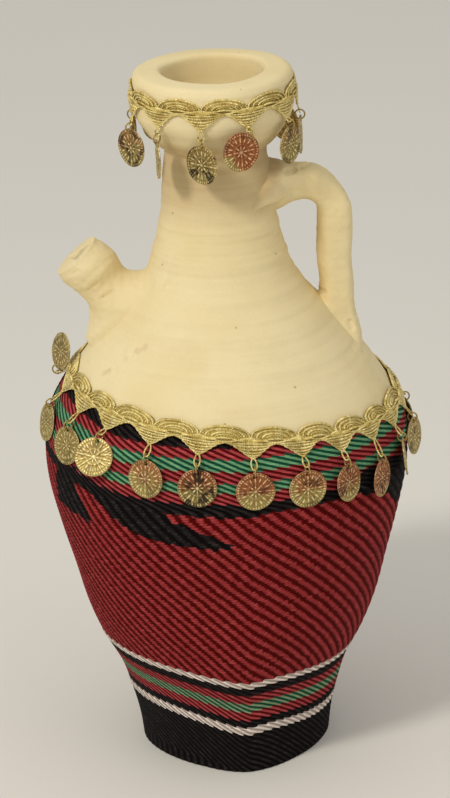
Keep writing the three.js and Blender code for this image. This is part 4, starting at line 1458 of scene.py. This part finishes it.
# %% The stamped disc
COIN_RADIUS = 8.0
COIN_THICKNESS = 0.5
HOLE_INSET = 1.5
RING_RADIUS = 2.0
RING_WIRE_RADIUS = 0.32
RING_DROP = 1.05
COIN_STEPS = 160
BEADS = 40
RAYS = 16
SUN_RAYS = 8
STAMP_DEPTH = 0.24
FIELD_LEVEL = -0.1  # the flat ground of the stamping, in mm
FULL_RELIEF = 0.34  # what counts as fully raised from that ground
BEAD_CIRCLE = 7.15  # radii of the pattern's circles, in mm
DOT_CIRCLE = 5.7
RAY_CIRCLE = 5.1
RING_CIRCLE = 3.2
SUN_CIRCLE = 1.9
RIM_STEP = (7.6, 7.85)
HOLE_RADIUS = 0.85


def bell(value, centre, width):
    return np.exp(-(((value - centre) / width) ** 2))


def to_spoke(radius, angle, count, shift):
    """Distance to the nearest of a number of spokes, shifted round by a share of their spacing."""
    return radius * np.abs((angle * count / (2 * math.pi) + shift) % 1 - 0.5) * 2 * math.pi / count


def stamped_height(radius, angle):
    """Height of the pattern in mm: beads at the rim, sixteen rays, dots between them and a small sun."""
    beads = bell(radius, BEAD_CIRCLE, 0.42) * (0.5 + 0.5 * np.cos(BEADS * angle))
    rays = bell(to_spoke(radius, angle, RAYS, 0.5), 0, 0.36) * bell(radius, RAY_CIRCLE, 1.25)
    dots = bell(np.hypot(to_spoke(radius, angle, RAYS, 0), radius - DOT_CIRCLE), 0, 0.4)
    sun = bell(to_spoke(radius, angle, SUN_RAYS, 0.5), 0, 0.3) * bell(radius, SUN_CIRCLE, 0.8)
    rings = bell(radius, RING_CIRCLE, 0.25) * 0.5 + smoothstep(radius, *RIM_STEP) * 0.6
    raised = beads * 1.25 + rays * 1.2 + dots + sun * 1.2 + rings + bell(radius, 0, 0.7)
    return STAMP_DEPTH * raised + FIELD_LEVEL


def stamped_disc():
    """A disc in the xz plane that faces +y, hole at the top, in mm."""
    radii = [
        0, 0.5, 1.0, 1.5, 2.0, 2.5, 2.95, 3.25, 3.6, 4.2, 4.8, 5.4, 6.0, 6.5, 6.85, 7.15, 7.45, 7.7,
        COIN_RADIUS,
    ]
    face = [(r, COIN_THICKNESS / 2) for r in radii]
    back = [(r, -COIN_THICKNESS / 2) for r in reversed(radii)]
    bm = spun([(radius, y, 0) for radius, y in face + back], (0, 1, 0), COIN_STEPS, 1e-4)
    for vert in bm.verts:
        radius = math.hypot(vert.co.x, vert.co.z)
        if radius < COIN_RADIUS - 0.05:
            vert.co.y += float(stamped_height(radius, math.atan2(vert.co.x, vert.co.z)))
    disc = mesh_from(bm, "disc")
    bm = bmesh.new()
    bmesh.ops.create_cone(bm, cap_ends=True, segments=24, radius1=HOLE_RADIUS, radius2=HOLE_RADIUS, depth=4)
    turn = Matrix.Translation((0, 0, COIN_RADIUS - HOLE_INSET)) @ Matrix.Rotation(math.pi / 2, 4, "X")
    bmesh.ops.transform(bm, matrix=turn, verts=bm.verts)
    return cut(disc, mesh_from(bm, "punch"))


disc_mesh = stamped_disc()
print("faces in one coin:", len(disc_mesh.polygons))

# %% The jump ring
RING_GAP = 3  # between the wire's ends, in degrees


def jump_ring():
    """A ring of wire in the yz plane, its ends almost touching, in mm."""
    bm = bmesh.new()
    wire = bmesh.ops.create_circle(bm, cap_ends=True, segments=10, radius=RING_WIRE_RADIUS)["verts"]
    face = wire[0].link_faces[0]
    bmesh.ops.translate(bm, verts=wire, vec=(0, RING_RADIUS, 0))
    bmesh.ops.spin(
        bm, geom=[face], cent=(0, 0, 0), axis=(1, 0, 0),
        angle=math.radians(360 - RING_GAP), steps=40, use_duplicate=False,
    )
    return mesh_from(bm, "jump_ring")


ring_mesh = jump_ring()

# %% [markdown]
# ## Finish of the coins
#
# The discs are brass, gilt thinly. The upper half of some coins is coppery, most of all on the front coins,
# and dark tarnish keeps to the low places of the stamping. The stamping's raised parts are painted lighter
# as highlights and its ground darker as painted shade. The shares of copper, tarnish and relief are stored
# on each vertex, so that every coin is stained in its own way.

# %% Finish of the coins
brass = Finish("stamped_brass")
x, y, z, here = brass.place()
copper = brass.attribute("copper")
tarnish = brass.attribute("tarnish")
relief = brass.attribute("relief")
scuff_and_highlight = brass.cloud(here, 700.0, 4.0)
# painted highlight and shade: raised parts of the stamping are painted pale gold and the ground dark gold
raised = (relief + (scuff_and_highlight - 0.5) * 1.4).step(0.15, 0.85)
gold = brass.blend(raised, (0.42, 0.31, 0.09), (0.98, 0.86, 0.46))
red_gold = brass.blend(raised, (0.36, 0.11, 0.035), (0.98, 0.62, 0.34))
metal = brass.blend(copper, gold, red_gold)
metal = brass.blend(tarnish, metal, (0.035, 0.02, 0.012))
brass_material = brass.surface(
    Base_Color=metal,
    Metallic=0.75,
    Roughness=0.36 + scuff_and_highlight * 0.18 + tarnish * 0.25,
    Normal=brass.bump(scuff_and_highlight, 0.0002, 0.35),
)

# %% Hang the coins
# as the photograph shows: share of copper in the upper part, share of tarnish, and how far above the
# coin's middle the copper ends, in mm
FRONT_STAIN = {
    "shoulder_coin_01": (0.15, 0.35), "shoulder_coin_02": (0.05, 0.3), "shoulder_coin_03": (0.1, 0.3),
    "shoulder_coin_04": (0.1, 0.25), "shoulder_coin_05": (0.75, 0.3), "shoulder_coin_06": (1.0, 0.75),
    "shoulder_coin_07": (0.95, 0.4, -2.0), "shoulder_coin_08": (0.85, 0.4, -1.0),
    "shoulder_coin_09": (0.95, 0.45, -2.5), "shoulder_coin_10": (0.95, 0.5, -6.0),
    "shoulder_coin_11": (0.1, 0.3), "shoulder_coin_12": (0.1, 0.4),
    "collar_coin_01": (0.5, 0.55), "collar_coin_02": (0.1, 0.3), "collar_coin_03": (0.15, 0.6),
    "collar_coin_04": (1.0, 0.35, -6.0), "collar_coin_05": (0.3, 0.45),
}
PLAIN_STAIN = (0.15, 0.35)  # of the coins that the photograph doesn't show
SHOULDER_POSES = [  # twist, roll and swing of each coin, in degrees
    (-37, 0, 195), (10, 0, 14), (10, 8, 13), (26, 4, 29.5), (-6, 0, 6.5), (4, 0, 3.5), (0, 0, 0.5),
    (-6, 0, 0.5), (14, 0, 4.5), (10, 0, 0), (20, 0, 7.5), (-18, 0, 5), (8, 0, 0), (-12, 0, 1), (5, 0, 0),
    (-6, 0, 0), (14, 0, 7.5), (-9, 0, 6), (3, 0, 6), (-14, 0, 14), (9, 0, 12.5),
]
COLLAR_POSES = [
    (26, 0, 0), (-42, 0, 0), (-32, 0, 0), (2, -42, 0), (0, 0, 0), (-8, 0, 0), (12, 0, 0), (-8, 0, 0),
    (6, 0, 0), (-14, 0, 0), (9, 0, 0),
]


def turned(axis, degrees):
    return Matrix.Rotation(math.radians(degrees), 4, axis)


def dropped(height):
    return Matrix.Translation((0, 0, height))


def bent_disc(node):
    """A copy of the stamped disc, bent a little, with its stain worked out, as a bmesh."""
    bm = bmesh.new()
    bm.from_mesh(disc_mesh)
    layers = {name: bm.verts.layers.float.new(name) for name in ("relief", "copper", "tarnish")}
    copper_share, tarnish_share, copper_end = (FRONT_STAIN.get(node, PLAIN_STAIN) + (0.0,))[:3]
    start = Vector((sum(map(ord, node)) * 1.37 % 50, int(node[-2:]) * 3.1, 0))
    for vert in bm.verts:
        x, y, z = vert.co
        radius = math.hypot(x, z)
        height = float(stamped_height(radius, math.atan2(x, z)))
        blot = noise.noise(vert.co / 5.0 + start)
        small = noise.noise(vert.co / 1.6 + start * 2)
        vert[layers["relief"]] = min(max((height - FIELD_LEVEL) / FULL_RELIEF, 0), 1)
        upper = float(smoothstep(z - copper_end + 5.0 * blot + 3.5 * small, -3.0, 3.0))
        vert[layers["copper"]] = copper_share * upper
        low = 1 - float(smoothstep(height, -0.06, 0.1))
        middle = float(bell(radius, 0.0, 2.6))
        blotch = float(smoothstep(blot + 0.5 * small, 0.14, 0.42))
        dark = low * (0.45 + middle * 0.5) + blotch * 0.8
        vert[layers["tarnish"]] = min(max(dark * tarnish_share * 1.3, 0), 0.95)
        vert.co.y += 0.28 * noise.noise(vert.co / 7.5 + start) + 0.004 * (x * x - z * z) * noise.noise(start)
    return bm


def hung_coin(node, azimuth, twist, roll, swing):
    hang = hang_point(node)
    hinge = Matrix.Translation(hang / MM) @ turned("Z", azimuth + 180) @ turned("X", swing)
    ring_place = hinge @ dropped(-RING_DROP)
    lowest = dropped(-RING_DROP - RING_RADIUS)
    coin_place = hinge @ lowest @ turned("Z", twist) @ turned("Y", roll) @ dropped(HOLE_INSET - COIN_RADIUS)
    bm = bent_disc(node)
    bmesh.ops.transform(bm, matrix=coin_place, verts=bm.verts)
    add_mesh(bm, ring_mesh, ring_place)
    bmesh.ops.scale(bm, verts=bm.verts, vec=(MM, MM, MM))
    return mesh_from(bm, node + "_stamped")


coin_rows = ((shoulder_nodes, shoulder, SHOULDER_POSES), (collar_nodes, collar, COLLAR_POSES))
for nodes, braid, poses in coin_rows:
    for index, (node, (twist, roll, swing)) in enumerate(zip(nodes, poses)):
        mesh = hung_coin(node, braid.tips[index], twist, roll, swing)
        add_piece(node + "_stamped", mesh, brass_material, "coin", node, node)
        low, high = np.array(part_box(node))
        spots = np.array([vert.co for vert in mesh.vertices])
        off = np.max(np.abs(spots.min(axis=0) - low) + np.abs(spots.max(axis=0) - high))
        print(f"   {node} differs from its CAD box by {off / MM:.2f} mm")
